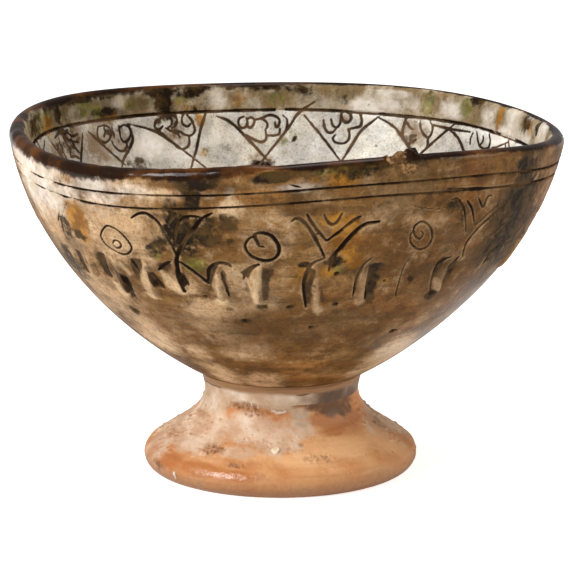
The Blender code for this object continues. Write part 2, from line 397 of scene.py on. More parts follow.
# scratched motifs of the outside: the width of each stroke and its pixels in the photograph
faintStroke, hairStroke, fineStroke = 0.45 * mm, 0.5 * mm, 0.8 * mm
leafStroke, broadStroke = 1.05 * mm, 1.4 * mm
outerLines = {
    "leafC": [
        (leafStroke, [(291.5, 221.5), (296.6, 218.3), (303.6, 221.5), (311.2, 231), (317.6, 242.5),
                      (325.3, 259)]),
        (leafStroke, [(306.8, 214.4), (315, 227.2), (326.5, 241.2)]),
        (leafStroke, [(326.5, 241.2), (341.8, 229.7), (354.6, 219.5), (361.6, 216.4)]),
        (broadStroke, [(329, 270.6), (332.9, 257.8), (341.8, 246.3), (352, 234.8), (364.8, 224.6),
                       (379.5, 221.5)]),
        (leafStroke, [(324, 214.4), (327.8, 221.5), (332.9, 224.6), (338, 220.8), (342.5, 213.2)]),
        (hairStroke, [(316.3, 234.2), (318.5, 233.6), (320.8, 233)]),
    ],
    "leafD": [
        (fineStroke, [(451.5, 199.7), (457.6, 199), (463.6, 207.6), (465.5, 217.3), (466, 231.8)]),
        (fineStroke, [(467.3, 200.3), (472, 208.8), (474.5, 224.5)]),
        (fineStroke, [(474.5, 225.8), (486.7, 214.8), (497.6, 205)]),
        (leafStroke, [(506, 202.7), (494, 213.6), (477, 229.4), (466, 244), (462.4, 257.3)]),
        (fineStroke, [(478.2, 196.7), (483, 207), (487.9, 196.7), (492.5, 196)]),
    ],
    "leafB": [
        (leafStroke, [(131, 218), (138.3, 213.8), (146.6, 213.8), (157.4, 222), (164.4, 233.6),
                      (172, 246.3), (176.5, 256)]),
        (leafStroke, [(176, 213), (171.5, 219.5), (167.5, 225)]),
        (leafStroke, [(201.4, 217.6), (190, 216.4), (181, 219.5), (176, 231), (174.6, 245)]),
        (broadStroke, [(211.6, 213.8), (202.7, 218.3), (193.8, 228.5), (183.6, 242.5), (177.2, 256.5),
                       (177.2, 266.7), (181, 279.5), (186.1, 290)]),
        (leafStroke, [(179.7, 261.6), (192.5, 270.6), (205.3, 280.8), (209, 284)]),
    ],
    "leafA": [
        (fineStroke, [(59.4, 203.3), (58.8, 213), (58.2, 221.5)]),
        (fineStroke, [(66.7, 203.3), (62.4, 213), (61.8, 221.5), (64.8, 233.6), (69, 244.5)]),
    ],
    "curlB": [
        (leafStroke, [(256, 237), (250, 238), (245.2, 245), (248, 253), (257, 259), (269, 260.6),
                      (277.6, 255.5), (278.6, 246), (271.6, 236.1), (261, 232.9), (254, 235.5),
                      (257, 241), (259, 246), (264, 247.5)]),
    ],
    "curlC": [
        (fineStroke, [(421, 230.6), (423.4, 234.2), (420, 238.5), (415.2, 235.5), (414.4, 227),
                      (422.4, 221.5), (430.6, 227.4), (432.1, 237.9), (427.3, 246.4), (418.8, 249.2),
                      (411.6, 244), (410.3, 236.7), (412.4, 231.4)]),
    ],
    "curlA": [
        (fineStroke, [(106, 245), (100.6, 236), (105.5, 226.4), (112.7, 227.6), (121.2, 233.6),
                      (128.5, 242), (131.5, 249), (126, 254.3), (116, 251.8), (106, 245)]),
        (fineStroke, [(112.5, 243.5), (114.5, 240.4), (119, 242), (121, 246), (117.5, 248.2),
                      (113, 245.5)]),
    ],
    "loose": [
        (hairStroke, [(289, 184.6), (295, 186), (302, 187.8)]),
        (fineStroke, [(447, 189), (470, 188.5), (495, 187.5), (514, 185)]),
        (faintStroke, [(411, 205.5), (428, 208.5), (446, 209.5)]),
    ],
}
# the copies round the back: bearings, growth, and how far they stray
motifCopies = {
    "leaf": [97, 137, 176, 216, 256], "leafGrow": (0.9, 1.05), "leafDrop": 0.8,
    "curl": [77, 117, 157, 196, 236, 276], "curlGrow": (0.9, 1.1), "roundCurls": 0.6,
    "turn": 0.1, "shake": 0.12 * mm,
}
scratchForm = {"depth": 0.5, "burr": 0.2 * mm}  # the depth by the width of the stroke


def scratch(width, line):
    sheet.mark(line, width, sink=width * scratchForm["depth"], dark=1.0, burr=scratchForm["burr"])


motifs = {}
for motif, strokes in outerLines.items():
    motifs[motif] = [(width, outside.places(points)) for width, points in strokes]
    for width, line in motifs[motif]:
        scratch(width, line)


def copyMotif(motif, bearing, grow, drop=0.0):
    # the same motif cut again further round
    middle = np.concatenate([line for _, line in motifs[motif]]).mean(0)
    turn = chance.uniform(-motifCopies["turn"], motifCopies["turn"])
    c, s = math.cos(turn), math.sin(turn)
    r = bowl.radius(middle[1])
    for width, line in motifs[motif]:
        away = (line - middle) * grow
        x, y = away[:, 0] * r, away[:, 1]
        spun = np.stack([x * c - y * s, y * c + x * s], -1)
        shaky = (spun + chance.normal(0, motifCopies["shake"], spun.shape)) / [r, 1]
        scratch(width, shaky + [bearing, middle[1] + drop])


for bearing in np.array(motifCopies["leaf"]) * deg:
    grow = chance.uniform(*motifCopies["leafGrow"])
    copyMotif("leafC", bearing, grow, stray(motifCopies["leafDrop"]))
for bearing in np.array(motifCopies["curl"]) * deg:
    motif = "curlC" if chance.uniform() < motifCopies["roundCurls"] else "curlB"
    copyMotif(motif, bearing, chance.uniform(*motifCopies["curlGrow"]))

# tongues gouged round the belly, by pixel of the photograph: dark cuts with their width in mm
tongueCuts = [
    (1.1, [(325, 258.4), (312, 264), (306, 274.4), (303.5, 288.4), (306, 307.6)]),
    (0.8, [(373.7, 256.5), (362.2, 266.7), (355.9, 280.8), (353, 297)]),
    (1.0, [(369, 268), (366.5, 284), (365, 300)]),
    (0.6, [(413.3, 256.5), (404.3, 266.7), (398, 286), (395.4, 296)]),
    (0.8, [(452.7, 256), (438, 265.8), (432, 279), (429.7, 293.6)]),
    (1.4, [(458.8, 257.3), (447.9, 269.4), (440.6, 280.3)]),
    (1.2, [(207.8, 281.5), (209, 269.3), (216.7, 263.8), (226, 263.8), (231, 267)]),
    (0.7, [(221, 272), (224.5, 284), (229, 297)]),
    (1.2, [(243.5, 279), (246.5, 272), (252, 267.5), (259, 265)]),
    (1.2, [(158.5, 270), (164, 265.5), (170, 262)]),
    (0.9, [(76, 251), (82, 260), (89, 273)]),
    (1.0, [(97, 254), (102, 262), (109, 273)]),
    (1.0, [(122, 274), (128, 284), (134, 293)]),
    (1.0, [(130.5, 260), (134, 266), (140, 274)]),
    (1.0, [(152, 274), (158, 282), (164, 289)]),
    (1.0, [(178, 272), (183, 279), (188.5, 286)]),
    (0.7, [(508.5, 236.7), (506, 241.5), (503.6, 246.4)]),
    (0.9, [(496.4, 246.4), (489, 255), (483, 263.3)]),
]
# hollows scooped beside the ridges, with their strength; their dark is pooled glaze and painted shade
hollows = [
    (1.0, [(97, 253), (103, 254), (105, 262), (109, 271), (113, 278), (110, 278), (104, 273), (99, 264)]),
    (0.8, [(111, 263), (114, 264), (121, 271), (128, 279), (131, 284), (133, 293), (129, 292),
           (125, 284), (118, 275)]),
    (1.0, [(130, 259), (140, 260), (141, 266), (139, 272), (139, 280), (137, 279), (133, 272), (130, 266)]),
    (0.9, [(148, 269), (153, 272), (158, 279), (164, 286), (165, 290), (161, 288), (155, 284), (151, 279)]),
    (1.0, [(157, 266), (168, 261), (171, 266), (168, 273), (163, 269)]),
    (1.0, [(177, 271), (184, 275), (189, 284), (184, 287), (180, 281)]),
    (0.9, [(207, 279), (208, 268), (214, 264), (219, 264), (216, 270), (213, 279), (211, 287)]),
    (0.5, [(221, 269), (225, 272), (228, 284), (231, 297), (229, 300), (225, 290), (222, 278)]),
    (1.0, [(240, 273), (250, 267), (258, 264), (251, 272), (248, 279), (244, 276)]),
    (0.65, [(262, 268), (275, 270), (273, 276), (269, 281), (270, 290), (268, 301), (263, 302),
            (261, 290), (261, 278)]),
    (0.4, [(246, 282), (250, 286), (250, 296), (244, 291)]),
    (1.0, [(298, 266), (309, 263), (307, 268), (302, 269)]),
    (0.75, [(310, 267), (316, 269), (312, 284), (311, 299), (308, 306), (303, 296), (303, 284),
            (306, 274)]),
    (0.5, [(319, 286), (323, 289), (325, 301), (321, 301)]),
    (0.75, [(369, 265), (380, 264), (385, 270), (375, 272), (371, 283), (375, 300), (366, 303),
            (364, 290), (367, 276)]),
    (0.35, [(409, 258), (416, 258), (413, 268), (410, 276), (405, 285), (402, 276)]),
    (0.75, [(437, 263), (444, 257), (449, 258), (440, 267), (434, 279), (431, 285), (434, 270)]),
    (1.0, [(459, 257), (456, 266), (450, 275), (444, 283), (440, 279), (447, 269)]),
    (0.9, [(74, 249), (79, 252), (84, 262), (90, 274), (86, 272), (80, 262)]),
    (0.8, [(85, 259), (90, 264), (95, 273), (91, 270)]),
    (0.8, [(129, 294), (133, 291), (136, 297), (132, 299)]),
    (0.7, [(258, 307), (267, 305), (268, 309), (260, 310)]),
]
# facets where the clay was pushed up, painted lighter where they catch the light: thin glaze and painted
# highlight, with their strength
facets = [
    (0.7, [(111, 257), (116, 258), (124, 265), (132, 274), (130, 276), (120, 266)]),
    (0.9, [(112, 280), (120, 284), (126, 289), (130, 295), (127, 298), (119, 291)]),
    (0.8, [(143, 264), (147, 266), (150, 277), (154, 287), (159, 299), (153, 297), (145, 289), (141, 281)]),
    (1.0, [(145, 292), (153, 292), (159, 299), (154, 299)]),
    (0.8, [(158, 268), (170, 276), (178, 280), (184, 288), (189, 295), (182, 294), (172, 290),
           (166, 286), (162, 276)]),
    (1.0, [(170, 286), (180, 286), (189, 294), (183, 295), (174, 291)]),
    (0.7, [(216, 271), (220, 272), (222, 284), (226, 298), (219, 298), (216, 286)]),
    (1.0, [(214, 301), (219, 297), (226, 298), (229, 303), (223, 305), (217, 304)]),
    (1.0, [(257, 266), (261, 267), (260, 280), (259, 292), (260, 302), (254, 304), (252, 296), (255, 284)]),
    (0.7, [(313, 288), (318, 286), (318, 300), (323, 310), (318, 315), (313, 312), (312, 300)]),
    (0.6, [(432, 279), (438, 276), (440, 284), (438, 290), (433, 291)]),
    (0.5, [(355, 298), (362, 296), (364, 303), (358, 306), (354, 303)]),
]
# ridges left between the hollows, with their width in mm and how far the crest lies to one side
tongueRidges = [
    (4.2, 0.4, [(214.5, 266), (217, 283), (223.5, 302)]),
    (4.0, 0.4, [(255.5, 266), (253, 280), (255, 292), (259, 304)]),
    (4.6, 0.4, [(312, 265), (312.5, 285), (317, 312)]),
    (3.8, 0.4, [(364, 266), (360.5, 284), (359, 303)]),
    (3.2, 0.3, [(446, 262), (439, 277), (434.5, 291)]),
    (3.2, 0.4, [(86, 251), (92, 263), (99, 277)]),
    (4.4, 0.4, [(112, 255), (119, 273), (129, 294)]),
    (4.6, 0.4, [(143, 262), (150.5, 279), (159, 298)]),
    (4.2, 0.4, [(171, 268), (178, 280), (186, 293)]),
]
tongueForm = {
    "cutDepth": 0.65 * mm, "cutBurr": 0.12 * mm, "hollowDepth": 0.7 * mm, "hollowEdge": 1.6 * mm,
    "ridgeHeight": 1.7 * mm, "backRidgeHeight": 1.0 * mm, "facetEdge": 0.8 * mm,
    "backBearings": np.arange(113, 276, 11.5), "backStray": 1.2,
}


def cut(width, line):
    sheet.mark(line, width * mm, sink=tongueForm["cutDepth"], dark=1.0, burr=tongueForm["cutBurr"])


def hollow(strength, outline):
    sheet.fill("pool", outline, strength)
    sheet.fill("sink", outline, tongueForm["hollowDepth"] * math.sqrt(strength), tongueForm["hollowEdge"])
    sheet.fill("fine", outline, 1.0, tongueForm["hollowEdge"])


def ridge(width, steep, line, height=tongueForm["ridgeHeight"]):
    sheet.mark(line, width * mm, rise=height, worn=0.5, taper=0.3, steep=steep, point=0.35, grow=0.45)


def backRidge(width, steep, line):
    ridge(width, steep, line, tongueForm["backRidgeHeight"])


# a facet painted lighter: thin glaze and painted highlight
def facet(strength, outline):
    sheet.fill("worn", outline, strength, tongueForm["facetEdge"])
    sheet.fill("fine", outline, 1.0, tongueForm["hollowEdge"])


for tool, marks in ((cut, tongueCuts), (hollow, hollows), (ridge, tongueRidges), (facet, facets)):
    for *how, points in marks:
        tool(*how, outside.places(points))
# the tongue in front, with the ridge of a side one, is cut again all round the back
frontMarks = [(cut, tongueCuts[0]), (hollow, hollows[12]), (backRidge, tongueRidges[2]),
              (backRidge, tongueRidges[7]), (facet, facets[9])]
frontTongue = [(tool, how, outside.places(points)) for tool, (*how, points) in frontMarks]
frontBearing = frontTongue[0][2][0][0]
for bearing in tongueForm["backBearings"] * deg:
    away = [bearing - frontBearing, stray(tongueForm["backStray"])]
    for tool, how, line in frontTongue:
        tool(*how, line + away)
print("outside drawn")

# stains and bare spots of the outside, by layer: middle, half size and strength
outerStains = {
    # tan: paler glaze, partly painted light on the lit left side and painted highlights along the lower edge
    "tan": [
        (110, 232, 60, 40, 0.75), (60, 225, 36, 50, 1.0), (152, 228, 26, 22, 0.6), (235, 288, 50, 22, 0.55),
        (255, 236, 24, 22, 0.4), (105, 290, 60, 30, 0.75), (170, 196, 90, 8, 0.6), (110, 215, 44, 20, 1.0),
        (200, 290, 40, 12, 0.4), (280, 240, 18, 24, 0.6), (268, 222, 20, 16, 0.4), (400, 232, 12, 12, 0.25),
        (190, 325, 40, 18, 0.4), (216, 309, 36, 12, 0.9), (245, 306, 30, 10, 0.6), (228, 210, 18, 12, 0.9),
        (380, 218, 18, 12, 0.6), (412, 220, 12, 10, 0.5), (440, 222, 12, 10, 0.4), (60, 190, 40, 30, 0.55),
        (110, 186, 34, 14, 0.55), (30, 170, 20, 24, 0.8), (216, 330, 30, 14, 0.7), (250, 352, 30, 10, 0.6),
        (262, 262, 16, 10, 0.6), (270, 300, 16, 10, 0.5), (150, 326, 14, 12, 0.5), (118, 286, 14, 10, 0.7),
        (120, 212, 18, 9, 1.0), (385, 352, 8, 6, 1.0), (196, 352, 12, 8, 0.7), (222, 374, 16, 7, 0.8),
        (358, 377, 10, 6, 0.8), (98, 208, 20, 14, 1.0), (185, 286, 22, 10, 0.8), (150, 332, 16, 12, 0.9),
        (264, 382, 22, 8, 1.0), (362, 380, 10, 8, 1.0), (388, 354, 10, 8, 1.1),
    ],
    # umber: brown clouds, partly painted shade on the right side away from the light
    "umber": [
        (300, 335, 50, 24, 1.0), (250, 330, 50, 22, 0.8), (350, 330, 50, 22, 0.9), (376, 282, 26, 24, 0.9),
        (430, 290, 30, 26, 0.7), (520, 210, 24, 40, 1.0), (495, 240, 24, 30, 0.8), (175, 322, 30, 14, 0.5),
        (460, 300, 30, 20, 0.5), (340, 245, 24, 26, 0.35), (300, 300, 40, 14, 0.4), (355, 285, 12, 20, 0.5),
        (405, 280, 16, 22, 0.7), (72, 242, 9, 14, 1.0), (332, 263, 14, 12, 0.9), (420, 262, 40, 40, 0.45),
        (470, 262, 36, 40, 0.55), (350, 304, 40, 20, 0.6), (410, 312, 40, 16, 0.6), (405, 254, 18, 8, 0.8),
        (70, 214, 10, 12, 0.7), (345, 284, 30, 24, 0.4), (350, 225, 30, 18, 0.3),
    ],
    "wet": [(405, 340, 36, 9, 1.0), (455, 305, 24, 14, 0.7), (370, 352, 30, 8, 0.6)],
    "amber": [
        (77, 222, 9, 19, 1.0), (305, 180, 30, 6, 0.7), (340, 181, 16, 9, 0.6), (347, 236, 16, 20, 1.0),
        (346, 250, 14, 10, 1.1), (335, 220, 14, 9, 0.7), (342, 178, 18, 10, 1.0), (330, 270, 12, 9, 0.5),
        (385, 281, 3, 3, 0.8), (150, 228, 12, 8, 0.35), (290, 250, 20, 18, 0.3), (480, 240, 16, 14, 0.3),
        (300, 276, 14, 10, 0.45), (352, 258, 12, 10, 0.8),
    ],
    # dark: stains, and some small patches among the tongues painted shade in their hollows
    "dark": [
        (80, 236, 6, 4, 0.8), (64, 247, 4, 6, 0.7), (178, 230, 20, 26, 1.0), (204, 228, 24, 18, 0.85),
        (208, 241, 17, 8, 1.0), (229, 224, 10, 8, 0.9), (229, 241, 8, 4, 0.9), (190, 252, 18, 9, 0.8),
        (163, 246, 12, 11, 0.8), (156, 230, 9, 9, 0.6), (158, 217, 10, 6, 0.7), (198, 184, 22, 8, 1.7),
        (192, 197, 12, 9, 1.3), (190, 208, 16, 5, 1.0), (102, 261, 5, 8, 0.7), (128, 287, 6, 6, 0.6),
        (136, 264, 6, 5, 0.7), (158, 281, 7, 8, 0.6), (164, 267, 6, 4, 0.8), (185, 280, 6, 7, 0.65),
        (267, 277, 6, 10, 0.45), (205, 297, 3, 2, 1.0), (229, 310, 5, 5, 0.6), (261, 307, 7, 3, 0.6),
        (246, 321, 7, 2.5, 0.9), (135, 310, 4, 3, 0.8), (187, 302, 4, 3, 0.6), (300, 176, 28, 6, 0.6),
        (360, 170, 34, 9, 0.85), (318, 172, 20, 5, 0.7), (330, 166, 36, 4, 0.7), (304, 265, 6, 3, 0.8),
        (337, 274, 2.5, 2, 1.0), (455, 205, 10, 6, 0.7), (462, 216, 5, 12, 0.6), (447, 214, 5, 3, 0.6),
        (528, 170, 10, 18, 0.95), (524, 198, 13, 20, 1.0), (511, 228, 17, 20, 0.95), (500, 255, 7, 13, 0.6),
        (431, 294, 4, 4, 1.0), (449, 270, 5, 8, 0.7), (378, 266, 7, 3, 0.6), (372, 288, 5, 15, 0.6),
        (385, 281, 2, 2, 0.8), (411, 278, 3, 4, 0.9), (290, 307, 5, 2, 1.0), (335, 304, 3, 2, 0.9),
        (311, 328, 3, 2, 1.0), (393, 331, 4, 2, 0.8), (316, 291, 3, 14, 0.25), (230, 333, 40, 4, 0.3),
        (75, 264, 8, 8, 0.55), (192, 172, 20, 7, 1.0), (330, 262, 8, 6, 0.45), (152, 250, 8, 8, 0.6),
        (338, 262, 10, 9, 0.5), (66, 228, 6, 12, 0.5), (312, 285, 5, 16, 0.4), (272, 178, 24, 5, 1.1),
        (336, 258, 9, 10, 0.9), (408, 151, 6, 4, 1.0), (415, 158, 9, 6, 1.0), (393, 157, 3, 2, 1.0),
    ],
    "green": [
        (190, 236, 44, 28, 0.5), (196, 265, 15, 9, 1.1), (160, 256, 10, 6, 0.6), (205, 247, 16, 8, 0.45),
        (350, 170, 36, 7, 0.9), (322, 173, 12, 7, 0.7), (300, 292, 10, 10, 0.3), (338, 268, 9, 8, 0.7),
    ],
    # pale: whitish slip, partly a painted sheen on the left side
    "pale": [
        (38, 180, 26, 27, 1.0), (110, 190, 45, 9, 0.55), (215, 196, 40, 6, 0.4), (300, 182, 16, 6, 0.5),
        (92, 186, 22, 11, 1.0), (66, 192, 16, 10, 0.9), (100, 210, 12, 9, 0.5), (126, 191, 14, 8, 0.6),
        (300, 187, 22, 6, 0.75), (100, 196, 24, 12, 0.8), (108, 206, 26, 8, 0.6), (205, 195, 40, 8, 0.45),
        (20, 158, 10, 8, 0.8),
    ],
    "bare": [(399, 162, 9, 4, 0.6), (398, 156, 7, 4, 0.62), (391, 159, 5, 3, 0.6), (410, 169, 8, 5, 0.62)],
}
sheet.stain(outside, outerStains)
# pits in the glaze
pits = [
    (205, 297), (290, 307), (245, 321), (311, 328), (335, 304), (337, 274), (431, 294), (411, 278),
    (135, 310), (393, 331), (385, 281),
]
for place in outside.places(pits):
    size = chance.uniform(0.5, 1.0) * mm
    sheet.patch("sink", place, (size, size * 0.7), 0.6 * mm)
    sheet.patch("fine", place, (1.5 * mm, 1.5 * mm), 1.0)
# the broken place on the lip: chips and the lumps of glaze beside them, with size and depth or height in mm
chips = [
    (391, 157, 1.0, 0.7), (396, 159, 1.3, 0.9), (401, 158, 1.2, 0.85), (407, 162, 1.5, 0.85),
    (400, 164, 0.8, 0.6), (412, 165, 1.0, 0.7), (408, 169, 0.8, 0.5), (413, 172, 0.7, 0.5),
]
lumps = [
    (397, 154, 2.0, 1.2), (403, 152, 1.7, 1.7), (408, 152, 1.3, 1.8), (413, 155, 1.5, 1.5),
    (418, 158, 1.3, 1.0), (388, 158, 1.2, 0.6), (404, 168, 0.5, 0.4), (410, 174, 0.5, 0.4),
]
hurtRoom = (4 * mm, 4 * mm)  # kept fine round each of them
for x, y, size, depth in chips:
    place = outside.places([(x, y)])[0]
    sheet.patch("sink", place, (size * mm, size * 0.6 * mm), depth * mm, chance.uniform(0, 3), 0.6)
    sheet.patch("fine", place, hurtRoom, 1.0)
for x, y, size, height in lumps:
    place = outside.places([(x, y)])[0]
    sheet.patch("rise", place, (size * mm, size * 0.7 * mm), height * mm, chance.uniform(0, 3))
    sheet.patch("fine", place, hurtRoom, 1.0)
# a thick bead of glaze along the lip in front
lipTop = (lipStart + lipEnd) / 2
lipBead = {
    "bearings": np.arange(-78, -6, 5), "size": (5 * mm, 2.0 * mm), "height": 0.75 * mm, "inward": 0.4 * mm,
}
for bearing in lipBead["bearings"] * deg:
    sheet.patch("rise", (bearing, lipTop + lipBead["inward"]), lipBead["size"], lipBead["height"])
# hidden side: the same kinds of stain, thinner, then specks all round
hiddenStains = {"count": 70, "kinds": ("dark", "amber", "dark", "tan", "green"), "specks": 90, "speck": 0.95}
for _ in range(hiddenStains["count"]):
    place = (chance.uniform(95, 265) * deg, chance.uniform(0.15, 1.0) * lipStart)
    size = chance.uniform(1.5, 5.5) * mm
    name = hiddenStains["kinds"][chance.integers(len(hiddenStains["kinds"]))]
    sheet.patch(name, place, (size, size * chance.uniform(0.6, 1.6)), chance.uniform(0.35, 0.85))
for _ in range(hiddenStains["specks"]):
    place = (chance.uniform(-180, 180) * deg, chance.uniform(0.1, 0.98) * lipStart)
    size = chance.uniform(0.12, 0.3) * mm
    sheet.patch("dark", place, (size, size), hiddenStains["speck"])

# down-pointing triangles of the inside, by pixel: left side, right side, strokes of the scroll
triangles = [
    ([(50, 140.3), (57, 150), (63, 157.5)], [(83, 133), (82, 147), (81.2, 160.6)],
     [[(59, 138), (61, 146), (64, 153), (67, 159)], [(63, 137), (67, 144), (70, 150), (71, 157)],
      [(71, 139), (74, 145), (77, 150), (79, 152)], [(71, 157), (75, 156), (79, 158)],
      [(66, 131), (72, 136), (78, 134)], [(60, 133), (66, 138), (72, 141), (78, 142)],
      [(55, 138), (60, 132), (66, 131)]]),
    ([(88, 131), (103, 145), (125.8, 165)],
     [(128, 124), (132, 133), (132.5, 141), (129, 150), (124, 159), (122, 168)],
     [[(98, 127), (97.5, 134), (100, 140), (105, 142.5), (109.5, 139.5), (111, 133), (110, 128),
       (105, 125.5), (99.5, 126.3)], [(104, 128), (105.5, 132), (104, 137)],
      [(112, 127), (113, 132), (114.5, 136)],
      [(119, 126), (120, 133), (121.5, 139), (124.5, 142), (129, 139), (131, 133), (128.5, 127),
       (124, 125), (120.5, 127)],
      [(112, 141.5), (115, 146.5), (119.5, 150.5), (124.5, 150.5), (127, 146), (126, 142)]]),
    ([(127.6, 123.6), (150, 129.5), (163, 136), (183, 150), (208, 169.5)],
     [(206, 112.5), (200.5, 130), (196.5, 149), (190.5, 171)],
     [[(160, 119), (156, 122), (155, 127), (159, 129.5), (163, 126)],
      [(157, 130), (163, 134), (168, 138.5), (172, 142)],
      [(184, 113), (182, 118), (182.5, 123.5), (187, 126.5), (190.5, 124)],
      [(187, 115), (191.5, 120), (194.5, 127), (194.5, 132), (190.5, 135.5), (185, 134.5), (180, 131.5),
       (175, 130)], [(189, 136), (189.5, 142), (187.5, 147), (182.5, 149), (177.5, 147), (172, 141)],
      [(166, 128), (171, 131), (177, 133), (180, 137)],
      [(160, 119), (166, 116.5), (171, 119), (172, 124), (168, 128)],
      [(174, 114), (177, 119), (176, 125), (172, 128)]]),
    ([(216.4, 116), (231, 122.5), (249.7, 141), (270, 163)],
     [(315, 101.6), (298.7, 113), (285.3, 132), (257, 168)],
     [[(244, 116.5), (239.5, 118.5), (238.5, 123), (241, 127.5), (245.5, 127), (247.5, 122.5),
       (246.5, 118)],
      [(247, 119), (251.5, 117.5), (254.5, 120.5), (253.5, 125), (250, 128), (247.5, 125.5)],
      [(254, 119.5), (259, 119), (264, 117), (270, 115), (276, 116.5), (279.5, 120), (279, 125),
       (276, 127), (275, 122.5)],
      [(262, 119), (266.5, 122), (267.5, 126.5), (265.5, 130), (266.5, 135), (265.5, 140), (261.5, 142),
       (256, 140.5), (250, 137), (246, 135)], [(267, 135), (273, 135.5), (279, 134), (280, 129)],
      [(283, 115), (287, 119.5), (287, 126.5), (285, 132), (281, 136)]]),
    ([(304, 115), (317.8, 131.5), (343, 165)], [(379, 116.5), (362, 130), (350, 148), (339, 165)],
     [[(323.5, 120), (324.5, 127), (327.5, 132), (332, 132.5), (336, 129)],
      [(331, 119), (332.5, 125), (336.5, 127.5), (340, 124), (341, 118), (342, 112.5)],
      [(342, 117), (344, 121.5), (348, 122.5), (351, 119), (350, 114), (346, 112)],
      [(360, 113), (361.5, 119), (361, 125.5), (356, 127.5), (348, 129)],
      [(348, 129), (349.5, 134), (348.5, 139.5), (344.5, 143), (339, 143.3), (334.5, 141.5),
       (332.8, 138), (335.5, 135)]]),
    ([(377.1, 117), (392.4, 125.5), (402, 137), (411, 150)], [(454, 124.5), (440, 136), (420, 154)],
     [[(406, 118), (404, 125), (402.5, 132), (404, 139)],
      [(416, 135.5), (412, 136.5), (410, 139.5), (412.5, 142), (416, 139.5)],
      [(420, 121), (420.5, 128), (423, 133.5), (427, 137.5)],
      [(430, 121), (432.5, 128), (431, 134.5), (428, 138.5), (427.5, 144), (425.5, 149)],
      [(407, 123), (410, 127.5), (413, 129.5)], [(433, 125), (447, 128.3), (460, 130.5), (470, 132)]]),
    ([(447.9, 129), (456, 135.5), (460.5, 143), (464, 152)], [(508, 142), (490, 150), (478, 158)],
     [[(473, 133), (470.5, 138), (470, 144)],
      [(476.5, 131), (477.5, 139), (479.5, 146), (484, 149), (488.5, 147.5), (490, 141), (489, 134.5)],
      [(483, 136), (483, 140.5), (480.5, 144.5)], [(491, 149), (494, 147)], [(505, 144), (505, 150)]]),
]
triangleForm = {
    "sideWidth": 1.1 * mm, "sideDepth": 0.2 * mm, "scrollWidth": 1.0 * mm, "scrollDepth": 0.18 * mm,
    "nearBearings": np.arange(-95, 106, 20), "nearStray": 0.6, "nearCopies": 4,
}


def toCorner(a, b):
    # runs both sides on to their lower corner where the near lip hides it
    u, v = a[-1] - a[0], b[-1] - b[0]
    share = np.linalg.solve(np.stack([u, -v], -1), b[0] - a[0])
    corner = a[0] + share[0] * u
    if 1.02 < share[0] < 3:
        a = np.concatenate([a, [corner]])
    if 1.02 < share[1] < 3:
        b = np.concatenate([b, [corner]])
    return a, b


def triangle(sides, scroll):
    for line in sides:
        sheet.mark(line, triangleForm["sideWidth"], sink=triangleForm["sideDepth"], dark=1.0)
    for line in scroll:
        sheet.mark(line, triangleForm["scrollWidth"], sink=triangleForm["scrollDepth"], dark=1.0, taper=0.2)


drawn = []
for left, right, scroll in triangles:
    sides = toCorner(inside.places(left), inside.places(right))
    drawn.append((sides, [inside.places(stroke) for stroke in scroll]))
    triangle(*drawn[-1])
# the hidden near side repeats one of them
sides, scroll = drawn[triangleForm["nearCopies"]]
for bearing in triangleForm["nearBearings"] * deg:
    away = [bearing - (sides[0][0][0] + sides[1][0][0]) / 2, stray(triangleForm["nearStray"])]
    triangle([line + away for line in sides], [line + away for line in scroll])

